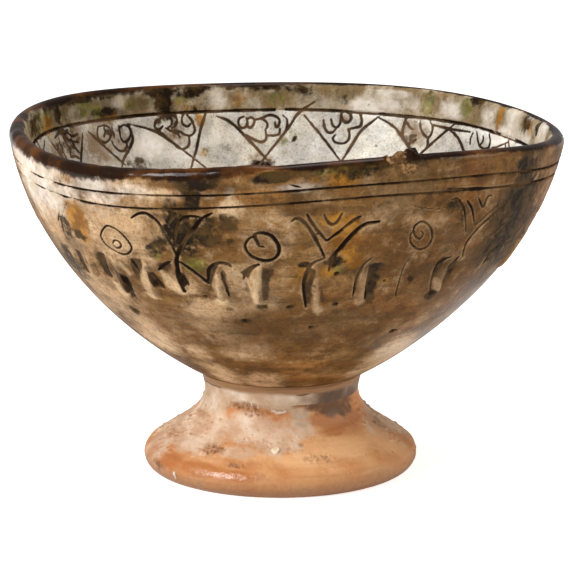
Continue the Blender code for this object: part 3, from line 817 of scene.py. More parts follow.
# drips and clouds of the inside, by layer: middle, half size and strength
innerStains = {
    "green": [
        (40, 125, 20, 16, 0.7), (80, 108, 26, 10, 0.5), (98, 112, 6, 8, 0.9), (129, 104, 8, 8, 0.8),
        (184, 102, 10, 8, 0.6), (273, 101, 5, 9, 0.9), (281, 97, 6, 8, 0.85), (428, 102, 7, 13, 1.0),
        (467, 108, 8, 11, 1.0), (284, 146, 6, 12, 0.6), (116, 134, 12, 7, 0.45), (292, 130, 6, 10, 0.5),
        (207, 150, 6, 10, 0.45),
    ],
    # dark: stains and washes, partly painted shade on the left side
    "dark": [
        (35, 128, 9, 12, 0.6), (58, 115, 4, 12, 0.95), (52, 104, 16, 6, 0.8), (88, 96, 30, 5, 0.85),
        (68, 101, 14, 5, 0.75), (120, 92, 26, 4, 0.85), (160, 91, 20, 8, 1.0), (163, 103, 8, 12, 1.0),
        (195, 109, 2.5, 6, 1.0), (198, 87, 14, 5, 0.85), (228, 86, 12, 4, 0.6), (262, 86, 26, 5, 0.95),
        (296, 89, 18, 7, 0.85), (343, 99, 8, 8, 0.7), (428, 94, 5, 5, 0.5), (480, 99, 10, 7, 1.0),
        (526, 124, 4, 12, 0.85), (537, 128, 2, 9, 0.7), (60, 147, 7, 9, 0.4), (140, 163, 14, 8, 0.5),
        (116, 132, 14, 10, 0.42), (172, 127, 15, 12, 0.45), (293, 139, 2.5, 1.5, 0.9),
        (228, 146, 16, 6, 0.3), (410, 140, 8, 8, 0.4), (104, 112, 14, 5, 0.7), (64, 130, 9, 6, 0.9),
        (168, 115, 8, 7, 1.0), (158, 122, 4, 4, 0.8), (125, 132, 6, 8, 0.6), (118, 135, 12, 9, 0.5),
        (70, 143, 9, 11, 0.65), (176, 124, 12, 8, 0.5), (262, 166, 16, 6, 1.0), (73, 142, 8, 10, 0.55),
        (192, 92, 12, 6, 1.0), (166, 114, 8, 8, 1.0),
    ],
    "amber": [
        (48, 126, 7, 9, 0.8), (111, 115, 6, 6, 0.8), (182, 106, 10, 6, 0.5), (238, 99, 10, 9, 0.6),
        (500, 117, 4, 16, 1.0), (529, 128, 5, 12, 0.6), (203, 153, 5, 6, 0.5), (200, 119, 5, 7, 1.0),
    ],
    # pale: white slip, partly painted highlights
    "pale": [
        (72, 112, 8, 7, 0.6), (119, 103, 9, 6, 0.6), (218, 99, 9, 10, 0.9), (256, 103, 8, 7, 0.6),
        (330, 104, 14, 7, 0.5), (365, 105, 16, 9, 0.95), (390, 105, 18, 9, 1.0), (412, 103, 10, 9, 0.85),
        (450, 109, 12, 10, 1.0), (488, 117, 8, 11, 1.0), (512, 121, 9, 12, 1.0), (543, 131, 7, 9, 1.0),
        (370, 112, 22, 8, 1.2), (500, 135, 24, 10, 1.2), (520, 140, 14, 10, 1.2), (150, 146, 18, 14, 1.2),
        (180, 155, 14, 7, 0.7), (396, 94, 22, 5, 1.0), (372, 122, 14, 6, 0.7), (520, 138, 14, 11, 1.0),
        (495, 140, 12, 7, 1.0), (532, 117, 7, 7, 1.0), (216, 138, 9, 11, 0.8), (456, 114, 10, 8, 1.0),
    ],
    # umber: brown clouds, partly painted shade on the left side and under the rim
    "umber": [
        (312, 99, 20, 9, 0.6), (97, 150, 19, 15, 1.0), (60, 146, 12, 14, 0.8), (176, 132, 15, 12, 0.7),
        (414, 133, 14, 12, 1.0), (110, 116, 22, 8, 1.2), (172, 134, 10, 7, 1.0), (117, 138, 14, 11, 1.0),
        (262, 161, 14, 8, 0.8), (72, 138, 12, 13, 1.0), (60, 112, 24, 12, 1.0), (100, 108, 26, 11, 1.0),
        (140, 103, 20, 9, 0.8), (172, 104, 16, 11, 1.0), (202, 100, 14, 9, 0.7), (345, 118, 7, 5, 0.9),
        (445, 140, 16, 10, 0.4),
    ],
}
sheet.stain(inside, innerStains)
nearDrips = {"count": 34, "kinds": ("dark", "green", "amber", "pale")}
for _ in range(nearDrips["count"]):
    # drips of the hidden near side
    place = (chance.uniform(-80, 80) * deg, lipEnd + chance.uniform(1, 7) * mm)
    size = chance.uniform(1.2, 3.0) * mm
    name = nearDrips["kinds"][chance.integers(len(nearDrips["kinds"]))]
    sheet.patch(name, place, (size, chance.uniform(2, 5) * mm), chance.uniform(0.5, 0.95))
print("inside drawn")

footForm = {
    "neckRadius": 22.6 * mm, "neckHeight": 24.0 * mm, "neckTop": 23.0 * mm, "top": 26.5 * mm,
    "radius": 40.3 * mm, "roll": 4.2 * mm, "rollHeight": 4.0 * mm, "rollEnd": 55 * deg,
    "flarePull": 11.0 * mm, "neckPull": 7.5 * mm, "ringInner": 31.5 * mm,
    "hollowPull": 10.0 * mm, "hollowTop": 22.0 * mm, "bore": 15.5 * mm,
    "sheetColumns": 1040, "sheetStep": 0.24 * mm, "columns": 260, "outerRows": 48, "underRows": 22,
    "fineFrom": (0.2, 0.7), "turning": 0.06 * mm, "plainBase": 3 * mm, "shadeAndGlossBase": 16 * mm,
}


# the thrown foot: up the outside, over its seat, down the bore and the hollow, back along the base
def footProfile(f):
    rollMiddle = np.array([f["radius"] - f["roll"], f["rollHeight"]])
    low = math.atan2(-f["rollHeight"], math.sqrt(f["roll"] ** 2 - f["rollHeight"] ** 2))
    roll = rollMiddle + polar(f["roll"], np.linspace(low, f["rollEnd"], curvePoints["roll"]))
    neck = np.array([f["neckRadius"], f["neckHeight"]])
    bend = roll[-1] + polar(f["flarePull"], f["rollEnd"] + math.pi / 2)
    t = np.linspace(0, 1, curvePoints["foot"])
    flare = bezier(roll[-1], bend, neck - [0, f["neckPull"]], neck, t)[0]
    seat = np.array([[f["neckTop"], f["top"]], [f["bore"], f["top"]], [f["bore"], f["hollowTop"]]])
    ring = np.array([f["ringInner"], 0])
    under = bezier(seat[-1], seat[-1] - [0, f["hollowPull"]], ring + [0, f["hollowPull"]], ring, t)[0]
    return np.concatenate([roll, flare[1:], seat, under[1:], roll[:1]]), len(roll) + len(flare) - 1


footPath, footOuter = footProfile(footForm)
foot = Turned(footPath)
neckWay = foot.way[footOuter]
footSeen = Seen(foot, lean, np.arange(-90, 91, 1.0), np.linspace(0, neckWay, 120))
footSheet = Sheet(foot, 0.0, neckWay + 2 * mm, footForm["sheetColumns"], footForm["sheetStep"])

# stains of the foot, by layer: middle, half size and strength
footStains = {
    "pink": [
        (205, 425, 48, 16, 1.0), (252, 430, 46, 18, 1.0), (190, 441, 30, 10, 1.0), (272, 444, 28, 14, 0.9),
        (300, 430, 14, 12, 0.8), (240, 453, 24, 8, 0.9), (170, 432, 18, 12, 1.0), (160, 450, 12, 8, 0.7),
        (186, 420, 20, 10, 1.0), (212, 411, 24, 8, 0.8),
    ],
    "pale": [
        (212, 398, 18, 12, 1.0), (240, 425, 40, 8, 0.35), (225, 393, 26, 8, 1.0), (262, 402, 12, 5, 1.0),
        (281, 409, 14, 5, 1.0), (300, 414, 10, 6, 0.9), (302, 423, 8, 5, 0.6), (242, 396, 14, 5, 0.9),
        (208, 402, 14, 8, 1.0), (252, 405, 12, 3, 0.9), (272, 406, 12, 4, 1.0), (224, 402, 12, 6, 0.9),
    ],
    "amber": [
        (345, 419, 20, 8, 1.0), (335, 431, 16, 6, 0.8), (170, 460, 14, 10, 0.9), (200, 469, 30, 8, 1.0),
        (235, 476, 30, 7, 0.8), (330, 418, 20, 10, 0.9), (345, 428, 26, 12, 0.5), (152, 450, 8, 10, 0.6),
    ],
    # grey: dark brown stains, and on the neck painted shade under the bowl
    "grey": [
        (300, 396, 14, 6, 0.9), (316, 399, 16, 9, 1.0), (332, 404, 12, 10, 1.0), (346, 400, 10, 9, 0.8),
        (330, 412, 8, 6, 0.8), (160, 466, 5, 5, 0.5), (331, 409, 14, 6, 1.0), (346, 408, 10, 6, 0.8),
        (315, 407, 12, 5, 0.9), (300, 405, 12, 4, 0.7), (362, 398, 5, 14, 0.6), (376, 421, 8, 6, 0.6),
        (320, 458, 16, 5, 0.35), (234, 466, 10, 4, 0.6),
    ],
    # warm: lighter orange clay, partly a painted sheen on the flare
    "warm": [
        (345, 447, 36, 13, 1.0), (385, 440, 16, 16, 0.9), (300, 460, 40, 8, 0.7), (250, 456, 30, 8, 0.7),
    ],
    "crust": [
        (248, 407, 22, 7, 0.9), (236, 404, 10, 4, 0.9), (202, 414, 12, 4, 0.8), (213, 450, 14, 6, 0.9),
        (172, 434, 6, 4, 0.8), (157, 461, 5, 4, 0.9), (262, 413, 10, 5, 0.9), (301, 445, 4, 3, 0.7),
        (166, 424, 8, 6, 0.5),
    ],
}
footSheet.stain(footSeen, footStains)
# crusts stuck to it: middle, half size, number of lumps, largest lump in mm
crusts = [
    (238, 405, 13, 4, 40, 1.3), (254, 411, 13, 5, 40, 1.3), (203, 414, 12, 4, 26, 1.1),
    (212, 450, 14, 5, 44, 1.1), (172, 434, 7, 4, 18, 1.1), (158, 461, 5, 4, 12, 0.9),
    (166, 423, 7, 6, 24, 1.3), (235, 466, 10, 3, 16, 0.7), (320, 459, 16, 4, 26, 0.7),
    (345, 468, 30, 5, 16, 0.5), (255, 438, 46, 16, 46, 0.6), (200, 428, 34, 12, 46, 0.7),
    (330, 445, 50, 16, 26, 0.5),
]
lumpShare = 0.62  # the rest are pits
for x, y, wide, high, count, largest in crusts:
    angle = chance.uniform(0, 2 * math.pi, count)
    reach = np.sqrt(chance.uniform(0, 1, count))
    pixels = np.stack([x + wide * reach * np.cos(angle), y + high * reach * np.sin(angle)], -1)
    for place in footSeen.places(pixels):
        size = chance.uniform(0.4, 1.0) * largest * mm
        shape = (size, size * chance.uniform(0.7, 1.0))
        turn = chance.uniform(0, 3)
        if chance.uniform() < lumpShare:
            footSheet.patch("rise", place, shape, size * 0.55, turn, 1.2)
            footSheet.patch("crust", place, shape, chance.uniform(0.2, 0.55), turn)
        else:
            pit = (size * 0.55, size * 0.45)
            footSheet.patch("sink", place, pit, size * 0.5, turn)
            footSheet.patch("crust", place, pit, chance.uniform(0.8, 1.2), turn)
        footSheet.patch("fine", place, (size + 1 * mm, size + 1 * mm), 1.0)
# the hidden side: lumps and pits, pink clouds, and slurry that ran down the neck
hiddenFoot = {"lumps": 240, "clouds": (95, 150, 205, 255), "cloud": (18 * mm, 11 * mm)}
for _ in range(hiddenFoot["lumps"]):
    place = (chance.uniform(60, 300) * deg, chance.uniform(0.12, 0.95) * neckWay)
    size = chance.uniform(0.25, 0.8) * mm
    footSheet.patch("rise" if chance.uniform() < 0.6 else "sink", place, (size, size * 0.8), size * 0.45)
    footSheet.patch("crust", place, (size, size), 0.8)
    footSheet.patch("fine", place, (size + 0.8 * mm, size + 0.8 * mm), 1.0)
for bearing in hiddenFoot["clouds"]:
    footSheet.patch("pink", (bearing * deg, 0.55 * neckWay), hiddenFoot["cloud"], 0.9)
footSheet.patch("pale", (180 * deg, neckWay), (75 * mm, 5 * mm), 0.9)
footSheet.patch("pale", (-62 * deg, neckWay), (16 * mm, 4 * mm), 1.0)
# flakes stuck to it: middle by pixel, half size in mm, turn, how white
flakes = [
    (274.2, 450.6, 0.62, 0.62, 0.3, 1.0), (276.8, 450, 0.62, 0.7, 0.2, 1.0),
    (275.4, 452.5, 0.6, 0.55, 0.2, 1.0), (274, 411, 0.6, 0.35, -0.2, 0.53),
    (279, 412.8, 1.0, 0.45, 0.1, 0.53), (284, 412, 0.7, 0.35, 0.4, 0.53), (175, 474, 0.35, 0.6, 0.3, 1.0),
    (176, 477, 0.3, 0.5, 0.1, 1.0),
]
for x, y, wide, high, turn, white in flakes:
    place = footSeen.places([(x, y)])[0]
    for layer, strength in (("white", white), ("amber", 1 - white), ("rise", 0.5 * mm)):
        footSheet.patch(layer, place, (wide * mm, high * mm), strength, turn, 0.3)
    footSheet.patch("fine", place, (3 * mm, 3 * mm), 1.0)
print("foot drawn")


def readPoints(piece):
    co = np.empty(len(piece.data.vertices) * 3, np.float32)
    piece.data.vertices.foreach_get("co", co)
    return co.reshape(-1, 3).astype(float)


def writePoints(piece, co):
    piece.data.vertices.foreach_set("co", np.asarray(co, np.float32).ravel())
    piece.data.update()


def faceMiddles(piece):
    middle = np.empty(len(piece.data.polygons) * 3, np.float32)
    piece.data.polygons.foreach_get("center", middle)
    return middle.reshape(-1, 3).astype(float)


def flatGrid(name, columns, rows):
    # a flat net that counts its columns along X and its rows along Y
    bpy.ops.object.select_all(action="DESELECT")
    bpy.ops.mesh.primitive_grid_add(x_subdivisions=columns, y_subdivisions=rows, size=1)
    piece = bpy.context.object
    piece.name = piece.data.name = name
    co = readPoints(piece)
    writePoints(piece, np.rint((co + 0.5) * [columns, rows, 0]))
    return piece


def refine(piece, wanted):
    # cut the chosen faces in four
    bpy.context.tool_settings.mesh_select_mode = (False, False, True)
    bpy.ops.object.mode_set(mode="EDIT")
    bpy.ops.mesh.select_all(action="DESELECT")
    bpy.ops.object.mode_set(mode="OBJECT")
    piece.data.polygons.foreach_set("select", wanted)
    bpy.ops.object.mode_set(mode="EDIT")
    bpy.ops.mesh.subdivide(number_cuts=1, smoothness=0)
    bpy.ops.object.mode_set(mode="OBJECT")


def netBearing(co, columns):
    return (co[:, 0] / columns * 2 - 1) * math.pi


def closeUp(piece, angle=65 * deg):
    bpy.ops.object.mode_set(mode="EDIT")
    bpy.ops.mesh.select_all(action="SELECT")
    bpy.ops.mesh.remove_doubles(threshold=0.004 * mm)
    bpy.ops.mesh.normals_make_consistent(inside=False)
    bpy.ops.object.mode_set(mode="OBJECT")
    bpy.ops.object.shade_smooth_by_angle(angle=angle)
    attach(piece, "root")
    print(piece.name, len(piece.data.polygons), "faces")


def giveAttribute(piece, name, values):
    made = piece.data.attributes.new(name, "FLOAT", "POINT")
    made.data.foreach_set("value", np.asarray(values, np.float32))


coatLayers = ("cut", "dark", "amber", "green", "bare", "pale", "tan", "umber", "pool", "worn", "wet")
coatFine = (0.12, 0.45)  # a face is cut in four where the drawing is finer than this, and once more
# how far the dark glaze of the lip reaches down each side in mm, by bearing
lipGlaze = {
    "bearings": [-180, -150, -100, -80, -45, -20, 0, 25, 60, 100, 150, 180],
    "outer": [2.4, 2.6, 3.0, 3.3, 3.2, 2.9, 2.2, 1.9, 1.9, 2.0, 2.2, 2.4],
    "inner": [2.2, 2.6, 2.8, 2.8, 2.3, 2.3, 2.3, 2.2, 2.0, 1.3, 1.2, 2.2],
    "hidden": 20,  # written on the back of a coat, which the glaze doesn't reach
}


def coatPiece(name, start, end, columns, rows, back):
    # the glazed face from one way to another, an edge, and a plain back against the clay
    piece = flatGrid(name, columns, rows + back)
    front, behind = np.linspace(start, end, rows + 1), np.linspace(end, start, back - 1)
    wayNodes = np.concatenate([front, behind, [start]])

    def place(co):
        way = np.interp(co[:, 1], np.arange(rows + back + 1), wayNodes)
        facing = (co[:, 1] <= rows) | (co[:, 1] > rows + back - 0.5)
        return netBearing(co, columns), way, facing

    for least in coatFine:
        bearing, way, facing = place(faceMiddles(piece))
        refine(piece, (sheet.read("fine", bearing, way) > least) & facing)
    bearing, way, facing = place(readPoints(piece))
    lift = sheet.read("rise", bearing, way) - sheet.read("sink", bearing, way)
    lift = np.where(facing, np.maximum(lift, -bowlForm["deepest"]), -bowlForm["coat"])
    writePoints(piece, handThrown(bowl.at(bearing, way, lift)))
    for layer in coatLayers:
        giveAttribute(piece, layer, np.where(facing, sheet.read(layer, bearing, way), 0))
    inward = way > lipTop
    outer = np.interp(bearing / deg, lipGlaze["bearings"], lipGlaze["outer"])
    inner = np.interp(bearing / deg, lipGlaze["bearings"], lipGlaze["inner"])
    fromLip = np.abs(way - lipTop) / mm / np.where(inward, inner, outer)
    giveAttribute(piece, "fromLip", np.where(facing, fromLip, lipGlaze["hidden"]))
    giveAttribute(piece, "inward", np.where(inward, 1, 0))
    closeUp(piece)
    return piece


# each coat: from which way to which, and its net of faces
seam = upperLine - ringLines["sag"]
wallForm = {"start": 0.0, "end": seam, "columns": 320, "rows": 60, "back": 8}
wallCoat = coatPiece("wall_glaze", **wallForm)
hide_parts("wall_slip", "line_slip_band")
rimForm = {"start": seam, "end": innerLine, "columns": 320, "rows": 26, "back": 6}
rimCoat = coatPiece("rim_glaze", **rimForm)
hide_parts("rim_slip")
innerForm = {"start": innerLine, "end": bowl.length, "columns": 320, "rows": 66, "back": 8}
innerCoat = coatPiece("inner_glaze", **innerForm)
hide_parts("inner_slip")

footLayers = ("warm", "pink", "pale", "grey", "crust", "white", "amber")


def makeFoot(columns, outer, under):
    piece = flatGrid("thrown_foot", columns, outer + under)
    corners = foot.way[footOuter:footOuter + 3]
    last = np.linspace(corners[2], foot.length, under - 1)[1:]
    wayNodes = np.concatenate([np.linspace(0, neckWay, outer + 1)[:-1], corners, last])

    def place(co):
        return netBearing(co, columns), np.interp(co[:, 1], np.arange(len(wayNodes)), wayNodes)

    for least in footForm["fineFrom"]:
        bearing, way = place(faceMiddles(piece))
        refine(piece, (footSheet.read("fine", bearing, way) > least) & (way < neckWay))
    bearing, way = place(readPoints(piece))
    shown = way < neckWay - 0.5 * mm
    turning = footForm["turning"] * np.sin(way * 2600) * np.sin(way * 700 + 2 * np.sin(bearing))
    lift = footSheet.read("rise", bearing, way) - footSheet.read("sink", bearing, way) + turning
    lift = np.where(shown & (way > footForm["plainBase"]), lift, 0)
    writePoints(piece, lean(foot.at(bearing, way, lift)))
    for layer in footLayers:
        giveAttribute(piece, layer, np.where(shown, footSheet.read(layer, bearing, way), 0))
    # painted shade: darker towards the base where it stands on the floor, also glossier there
    giveAttribute(piece, "low", np.clip(1 - way / footForm["shadeAndGlossBase"], 0, 1))
    closeUp(piece)
    return piece


thrownFoot = makeFoot(footForm["columns"], footForm["outerRows"], footForm["underRows"])
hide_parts("pedestal_foot")

# slurry smeared over the joint, from the neck up to the lower edge of the bowl: radius and height in mm,
# how brown it is by bearing, partly painted shade away from the light, and the height from which the wall's
# brown has run over it
lutingForm = {
    "section": [(22.45, 21.6), (22.62, 23.1), (22.74, 24.2), (23.0, 25.8), (23.35, 27.2), (23.8, 28.3),
                (24.7, 29.1), (24.2, 29.2), (22.9, 28.25), (21.0, 28.1), (17.0, 28.1), (16.7, 27.4),
                (17.0, 26.75), (21.0, 26.7), (22.2, 26.0), (22.2, 24.0), (22.45, 21.6)],
    "columns": 240, "wave": 0.05 * mm, "wavyRows": (2, 7),
    "bearings": [-180, -60, -25, 5, 20, 31, 62, 85, 120, 180],
    "brown": [0.5, 0.0, 0.05, 0.25, 0.45, 1.0, 0.8, 0.4, 0.4, 0.5],
    "glazedFrom": 25.9, "glazedWave": 0.12,
}


def makeLuting(columns):
    section = np.array(lutingForm["section"]) * mm
    piece = flatGrid("luting_smear", columns, len(section) - 1)
    co = readPoints(piece)
    bearing = netBearing(co, columns)
    r, z = section[co[:, 1].astype(int)].T
    first, last = lutingForm["wavyRows"]
    outer = (co[:, 1] > first) & (co[:, 1] < last)
    wave = np.sin(7 * bearing) * np.sin(3 * bearing + 1)
    wave = wave + 0.5 * np.sin(23 * bearing + 2 * np.sin(5 * bearing))
    r = r + np.where(outer, lutingForm["wave"] * wave, 0)
    writePoints(piece, lean(np.stack([r * np.sin(bearing), -r * np.cos(bearing), z], -1)))
    giveAttribute(piece, "brown", np.interp(bearing / deg, lutingForm["bearings"], lutingForm["brown"]))
    glazed = (z / mm - lutingForm["glazedFrom"] + lutingForm["glazedWave"] * wave) + 0.5
    giveAttribute(piece, "glazed", glazed)
    closeUp(piece, 60 * deg)
    return piece


lutingBead = makeLuting(lutingForm["columns"])
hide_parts("luting_ring")


# shader maths as Python expressions
class Value:
    def __init__(self, paint, socket):
        self.paint, self.socket = paint, socket

    def maths(self, operation, a, b):
        return self.paint.node("ShaderNodeMath", {"operation": operation}, {0: a, 1: b})

    def __add__(self, other):
        return self.maths("ADD", self, other)

    def __sub__(self, other):
        return self.maths("SUBTRACT", self, other)

    def __rsub__(self, other):
        return self.maths("SUBTRACT", other, self)

    def __mul__(self, other):
        return self.maths("MULTIPLY", self, other)

    __radd__, __rmul__ = __add__, __mul__

    def ramp(self, low, high):
        # 0 below low, 1 above high
        inputs = {"Value": self, "From Min": low, "From Max": high}
        return self.paint.node("ShaderNodeMapRange", {"interpolation_type": "SMOOTHSTEP"}, inputs)


def shade(red, green, blue):
    # an 8-bit colour as linear light
    def linear(c):
        c /= 255
        return c / 12.92 if c <= 0.04045 else ((c + 0.055) / 1.055) ** 2.4
    return (linear(red), linear(green), linear(blue))


class Paint:
    def __init__(self, owner, shader="Principled BSDF"):
        self.owner = owner if shader == "Background" else bpy.data.materials.new(owner)
        self.owner.use_nodes = True
        self.tree = self.owner.node_tree
        self.shader = self.tree.nodes[shader]

    def node(self, kind, settings, inputs, output=0):
        made = self.tree.nodes.new(kind)
        for key, value in settings.items():
            if key == "stops":
                while len(made.color_ramp.elements) < len(value):
                    made.color_ramp.elements.new(0.5)
                for element, (at, colour) in zip(made.color_ramp.elements, value):
                    element.position = at
                    element.color = (*shade(*colour), 1)
            else:
                setattr(made, key, value)
        for key, value in inputs.items():
            self.plug(made.inputs[key], value)
        return Value(self, made.outputs[output])

    def plug(self, socket, value):
        if isinstance(value, Value):
            self.tree.links.new(value.socket, socket)
        elif isinstance(value, tuple) and socket.type == "RGBA":
            socket.default_value = (*value, 1)
        else:
            socket.default_value = value

    def attribute(self, name):
        return self.node("ShaderNodeAttribute", {"attribute_name": name}, {}, "Fac")

    def noise(self, scale, detail=3.0, rough=0.55, stretch=None):
        where = self.node("ShaderNodeTexCoord", {}, {}, "Object")
        if stretch:
            where = self.node("ShaderNodeMapping", {}, {"Vector": where, "Scale": stretch})
        inputs = {"Vector": where, "Scale": scale, "Detail": detail, "Roughness": rough}
        return self.node("ShaderNodeTexNoise", {}, inputs)

    def litAndShown(self, lit, shown):
        # one colour for the light that it throws, another for how it looks
        seen = self.node("ShaderNodeLightPath", {}, {}, "Is Camera Ray")
        return self.mix(seen, lit, shown)

    def tint(self, value, stops):
        return self.node("ShaderNodeValToRGB", {"stops": stops}, {0: value})

    def mix(self, share, a, b):
        return self.node("ShaderNodeMix", {"data_type": "RGBA"}, {0: share, 6: a, 7: b}, 2)

    def between(self, value, low, high, tints):
        # from one 8-bit colour to another as the value rises
        return self.mix(value.ramp(low, high), shade(*tints[0]), shade(*tints[1]))

    def over(self, ground, share, tint):
        # an 8-bit colour or a mixture laid over the ground
        return self.mix(share, ground, tint if isinstance(tint, Value) else shade(*tint))

    def bump(self, height, distance):
        return self.node("ShaderNodeBump", {}, {"Height": height, "Distance": distance})

    def finish(self, piece, inputs):
        for key, value in inputs.items():
            self.plug(self.shader.inputs[key], value)
        piece.data.materials.clear()
        piece.data.materials.append(self.owner)


# 8-bit colours of the glazes, outside and over the lip, then inside
outerGlaze = {
    "ground": [(0.36, (78, 50, 21)), (0.46, (110, 75, 35)), (0.54, (132, 94, 49)), (0.64, (162, 124, 78))],
    "tan": [(202, 164, 122), (222, 192, 154)], "rust": (146, 88, 38), "film": (144, 124, 92),
    "darkFleck": (64, 46, 22), "lightFleck": (192, 160, 122), "streak": (80, 54, 27),
    "turning": (74, 50, 26), "umber": (80, 50, 19), "band": [(132, 114, 80), (220, 206, 180)],
    "bandUmberAndShade": (84, 68, 40),
    # pool: pooled glaze and painted shade in the hollows
    # worn: thin glaze and painted highlight on crests, facets and burrs
    "pool": [(42, 29, 15), (84, 62, 36)], "worn": (226, 194, 152), "lip": [(34, 19, 9), (94, 55, 23)],
    "chalkAndSheen": [(238, 228, 216), (200, 186, 168)], "chalkAndSheenShare": 0.75,
    "honey": [(174, 120, 38), (120, 76, 18)], "line": [(30, 20, 12), (88, 66, 42)],
    "roughBelowLip": 0.4,
}
innerGlaze = {
    "ground": [(0.34, (160, 155, 147)), (0.48, (200, 193, 182)), (0.6, (218, 207, 187))],
    "darkFleck": (150, 147, 140), "lightFleck": (238, 234, 226), "umber": (146, 120, 92),
    "chalkAndSheen": [(252, 247, 240), (228, 218, 205)], "chalkAndSheenShare": 0.85,
    "honey": [(206, 156, 60), (158, 104, 32)], "line": [(48, 34, 22), (100, 76, 54)],
    "roughBelowLip": 0.1, "shine": 0.15,
}
bothGlazes = {
    "grain": (58, 42, 24), "green": [(140, 134, 58), (84, 82, 30)], "sootAndShade": [(30, 20, 9), (74, 55, 28)],
    "bare": [(96, 66, 38), (168, 130, 88)], "speck": (60, 42, 26),
    "coatRoughness": 0.06, "specular": 0.06, "bump": 0.5 * mm,
}


def glaze(piece, name, tints):
    # slip under a clear lead glaze: mottled ground, then stains, drips, dark lip, cut lines and bare spots
    p = Paint(name)
    inner = tints is innerGlaze
    tints = {**bothGlazes, **tints}
    broad, middle, small = p.noise(20, 4, 0.6), p.noise(75, 4, 0.6), p.noise(480, 3, 0.6)
    fleck, grain = p.noise(170, 6, 0.7), p.noise(1500, 2, 0.6)
    turning = p.noise(1, 3, 0.6, stretch=(110, 110, 900))
    cloud = broad * 0.55 + middle * 0.45
    wobble = (middle - 0.5) * 2.2 + (small - 0.5) * 1.6 + (fleck - 0.5) * 1.4
    fromLip, cutLine = p.attribute("fromLip"), p.attribute("cut")

    def spread(layer, low, high, ragged=1.0):
        # a stain with a ragged edge
        level = p.attribute(layer)
        return (level + wobble * level.ramp(0.02, 0.4) * ragged).ramp(low, high)

    def flecked(tint):
        return p.between(fleck, 0.4, 0.6, tints[tint])

    # umber clouds, partly painted shade
    umber = spread("umber", 0.0, 1.2)
    ground = p.tint(cloud, tints["ground"])
    if inner:
        ground = p.over(ground, fleck.ramp(0.48, 0.62) * 0.45, tints["darkFleck"])
        ground = p.over(ground, (1 - fleck).ramp(0.52, 0.64) * 0.5, tints["lightFleck"])
        ground = p.over(ground, umber * 0.9, tints["umber"])
    else:
        streak = p.noise(1, 4, 0.6, stretch=(30, 30, 340))
        rust, film = p.noise(42, 5, 0.65), p.noise(60, 6, 0.72)
        # paler tan patches, partly painted light and painted highlight
        light = spread("tan", 0.1, 1.0, 0.7)
        ground = p.over(ground, light * 0.85, p.between(cloud, 0.4, 0.6, tints["tan"]))
        ground = p.over(ground, rust.ramp(0.5, 0.66) * (0.5 - light * 0.25), tints["rust"])
        ground = p.over(ground, film.ramp(0.49, 0.62) * 0.3, tints["film"])
        ground = p.over(ground, fleck.ramp(0.5, 0.62) * (0.6 - light * 0.3), tints["darkFleck"])
        ground = p.over(ground, (1 - fleck).ramp(0.52, 0.68) * 0.4, tints["lightFleck"])
        ground = p.over(ground, streak.ramp(0.48, 0.66) * (0.55 - light * 0.3), tints["streak"])
        ground = p.over(ground, turning.ramp(0.52, 0.66) * broad.ramp(0.42, 0.58) * 0.35, tints["turning"])
        ground = p.over(ground, umber * 0.65, tints["umber"])
        # paler from the top of the lip inwards
        band = p.mix(0.7, ground, p.between(middle, 0.4, 0.62, tints["band"]))
        # the band inside the lip darkened by the same mask: brown and painted shade
        band = p.over(band, umber * 0.75, tints["bandUmberAndShade"])
        ground = p.mix(p.attribute("inward"), ground, band)
        # dark of the hollows: pooled glaze and painted shade
        level = p.attribute("pool")
        pool = (level + (fleck - 0.5) * 1.2 * level.ramp(0.05, 0.4)).ramp(0.05, 0.75)
        ground = p.over(ground, pool * 0.95, flecked("pool"))
        # crests and facets painted lighter: thin glaze and painted highlight
        ground = p.over(ground, p.attribute("worn") * (1 - pool) * (1.2 - fleck) * 0.8, tints["worn"])
    ground = p.over(ground, grain.ramp(0.5, 0.66) * 0.35, tints["grain"])
    # whitish slip, partly painted sheen and painted highlights
    ground = p.over(ground, spread("pale", 0.1, 1.1, 0.6) * tints["chalkAndSheenShare"], flecked("chalkAndSheen"))
    ground = p.over(ground, spread("green", 0.25, 0.9) * 0.75, flecked("green"))
    ground = p.over(ground, spread("amber", 0.2, 0.85) * 0.85, flecked("honey"))
    # dark stains, partly painted shade
    ground = p.over(ground, spread("dark", 0.15, 0.85), p.between(fleck, 0.42, 0.62, tints["sootAndShade"]))
    line = cutLine + (small - 0.5) * 0.6 + (fleck - 0.5) * 1.1
    if inner:
        lineTint = p.between(middle, 0.4, 0.6, tints["line"])
        shine = tints["shine"]
    else:
        lip = fromLip + (broad - 0.5) * 1.8 + (middle - 0.5) * 1.6 + (small - 0.5) * 0.8
        ground = p.over(ground, 1 - lip.ramp(0.8, 1.25), p.between(cloud, 0.46, 0.6, tints["lip"]))
        line = line - p.attribute("pale") * middle.ramp(0.42, 0.6) * 0.8
        lineTint = p.between(middle, 0.42, 0.6, tints["line"])
        shine = 0.05 + (1 - fromLip.ramp(1.2, 2.0)) * 0.14 + p.attribute("wet") * 0.5
    ground = p.over(ground, line.ramp(0.3, 0.8), lineTint)
    bare, speck = spread("bare", 0.3, 0.7), small.ramp(0.66, 0.74)
    ground = p.over(ground, bare, p.between(small, 0.4, 0.6, tints["bare"]))
    ground = p.over(ground, speck * 0.5, tints["speck"])
    skin = p.bump(middle * 0.6 + small * 0.25 + turning * 0.12 - speck * 0.2, tints["bump"])
    gloss = shine * (1 - p.attribute("dark").ramp(0.2, 0.8) * 0.85) * (1 - cutLine)
    rough = 0.2 + fromLip.ramp(0.8, 2.0) * tints["roughBelowLip"] + bare * 0.5
    rough = rough + cutLine * 0.3 + (small - 0.5) * 0.25
    p.finish(piece, {"Base Color": ground, "Roughness": rough, "Coat Weight": gloss, "Normal": skin,
                     "Coat Roughness": tints["coatRoughness"], "Specular IOR Level": tints["specular"]})


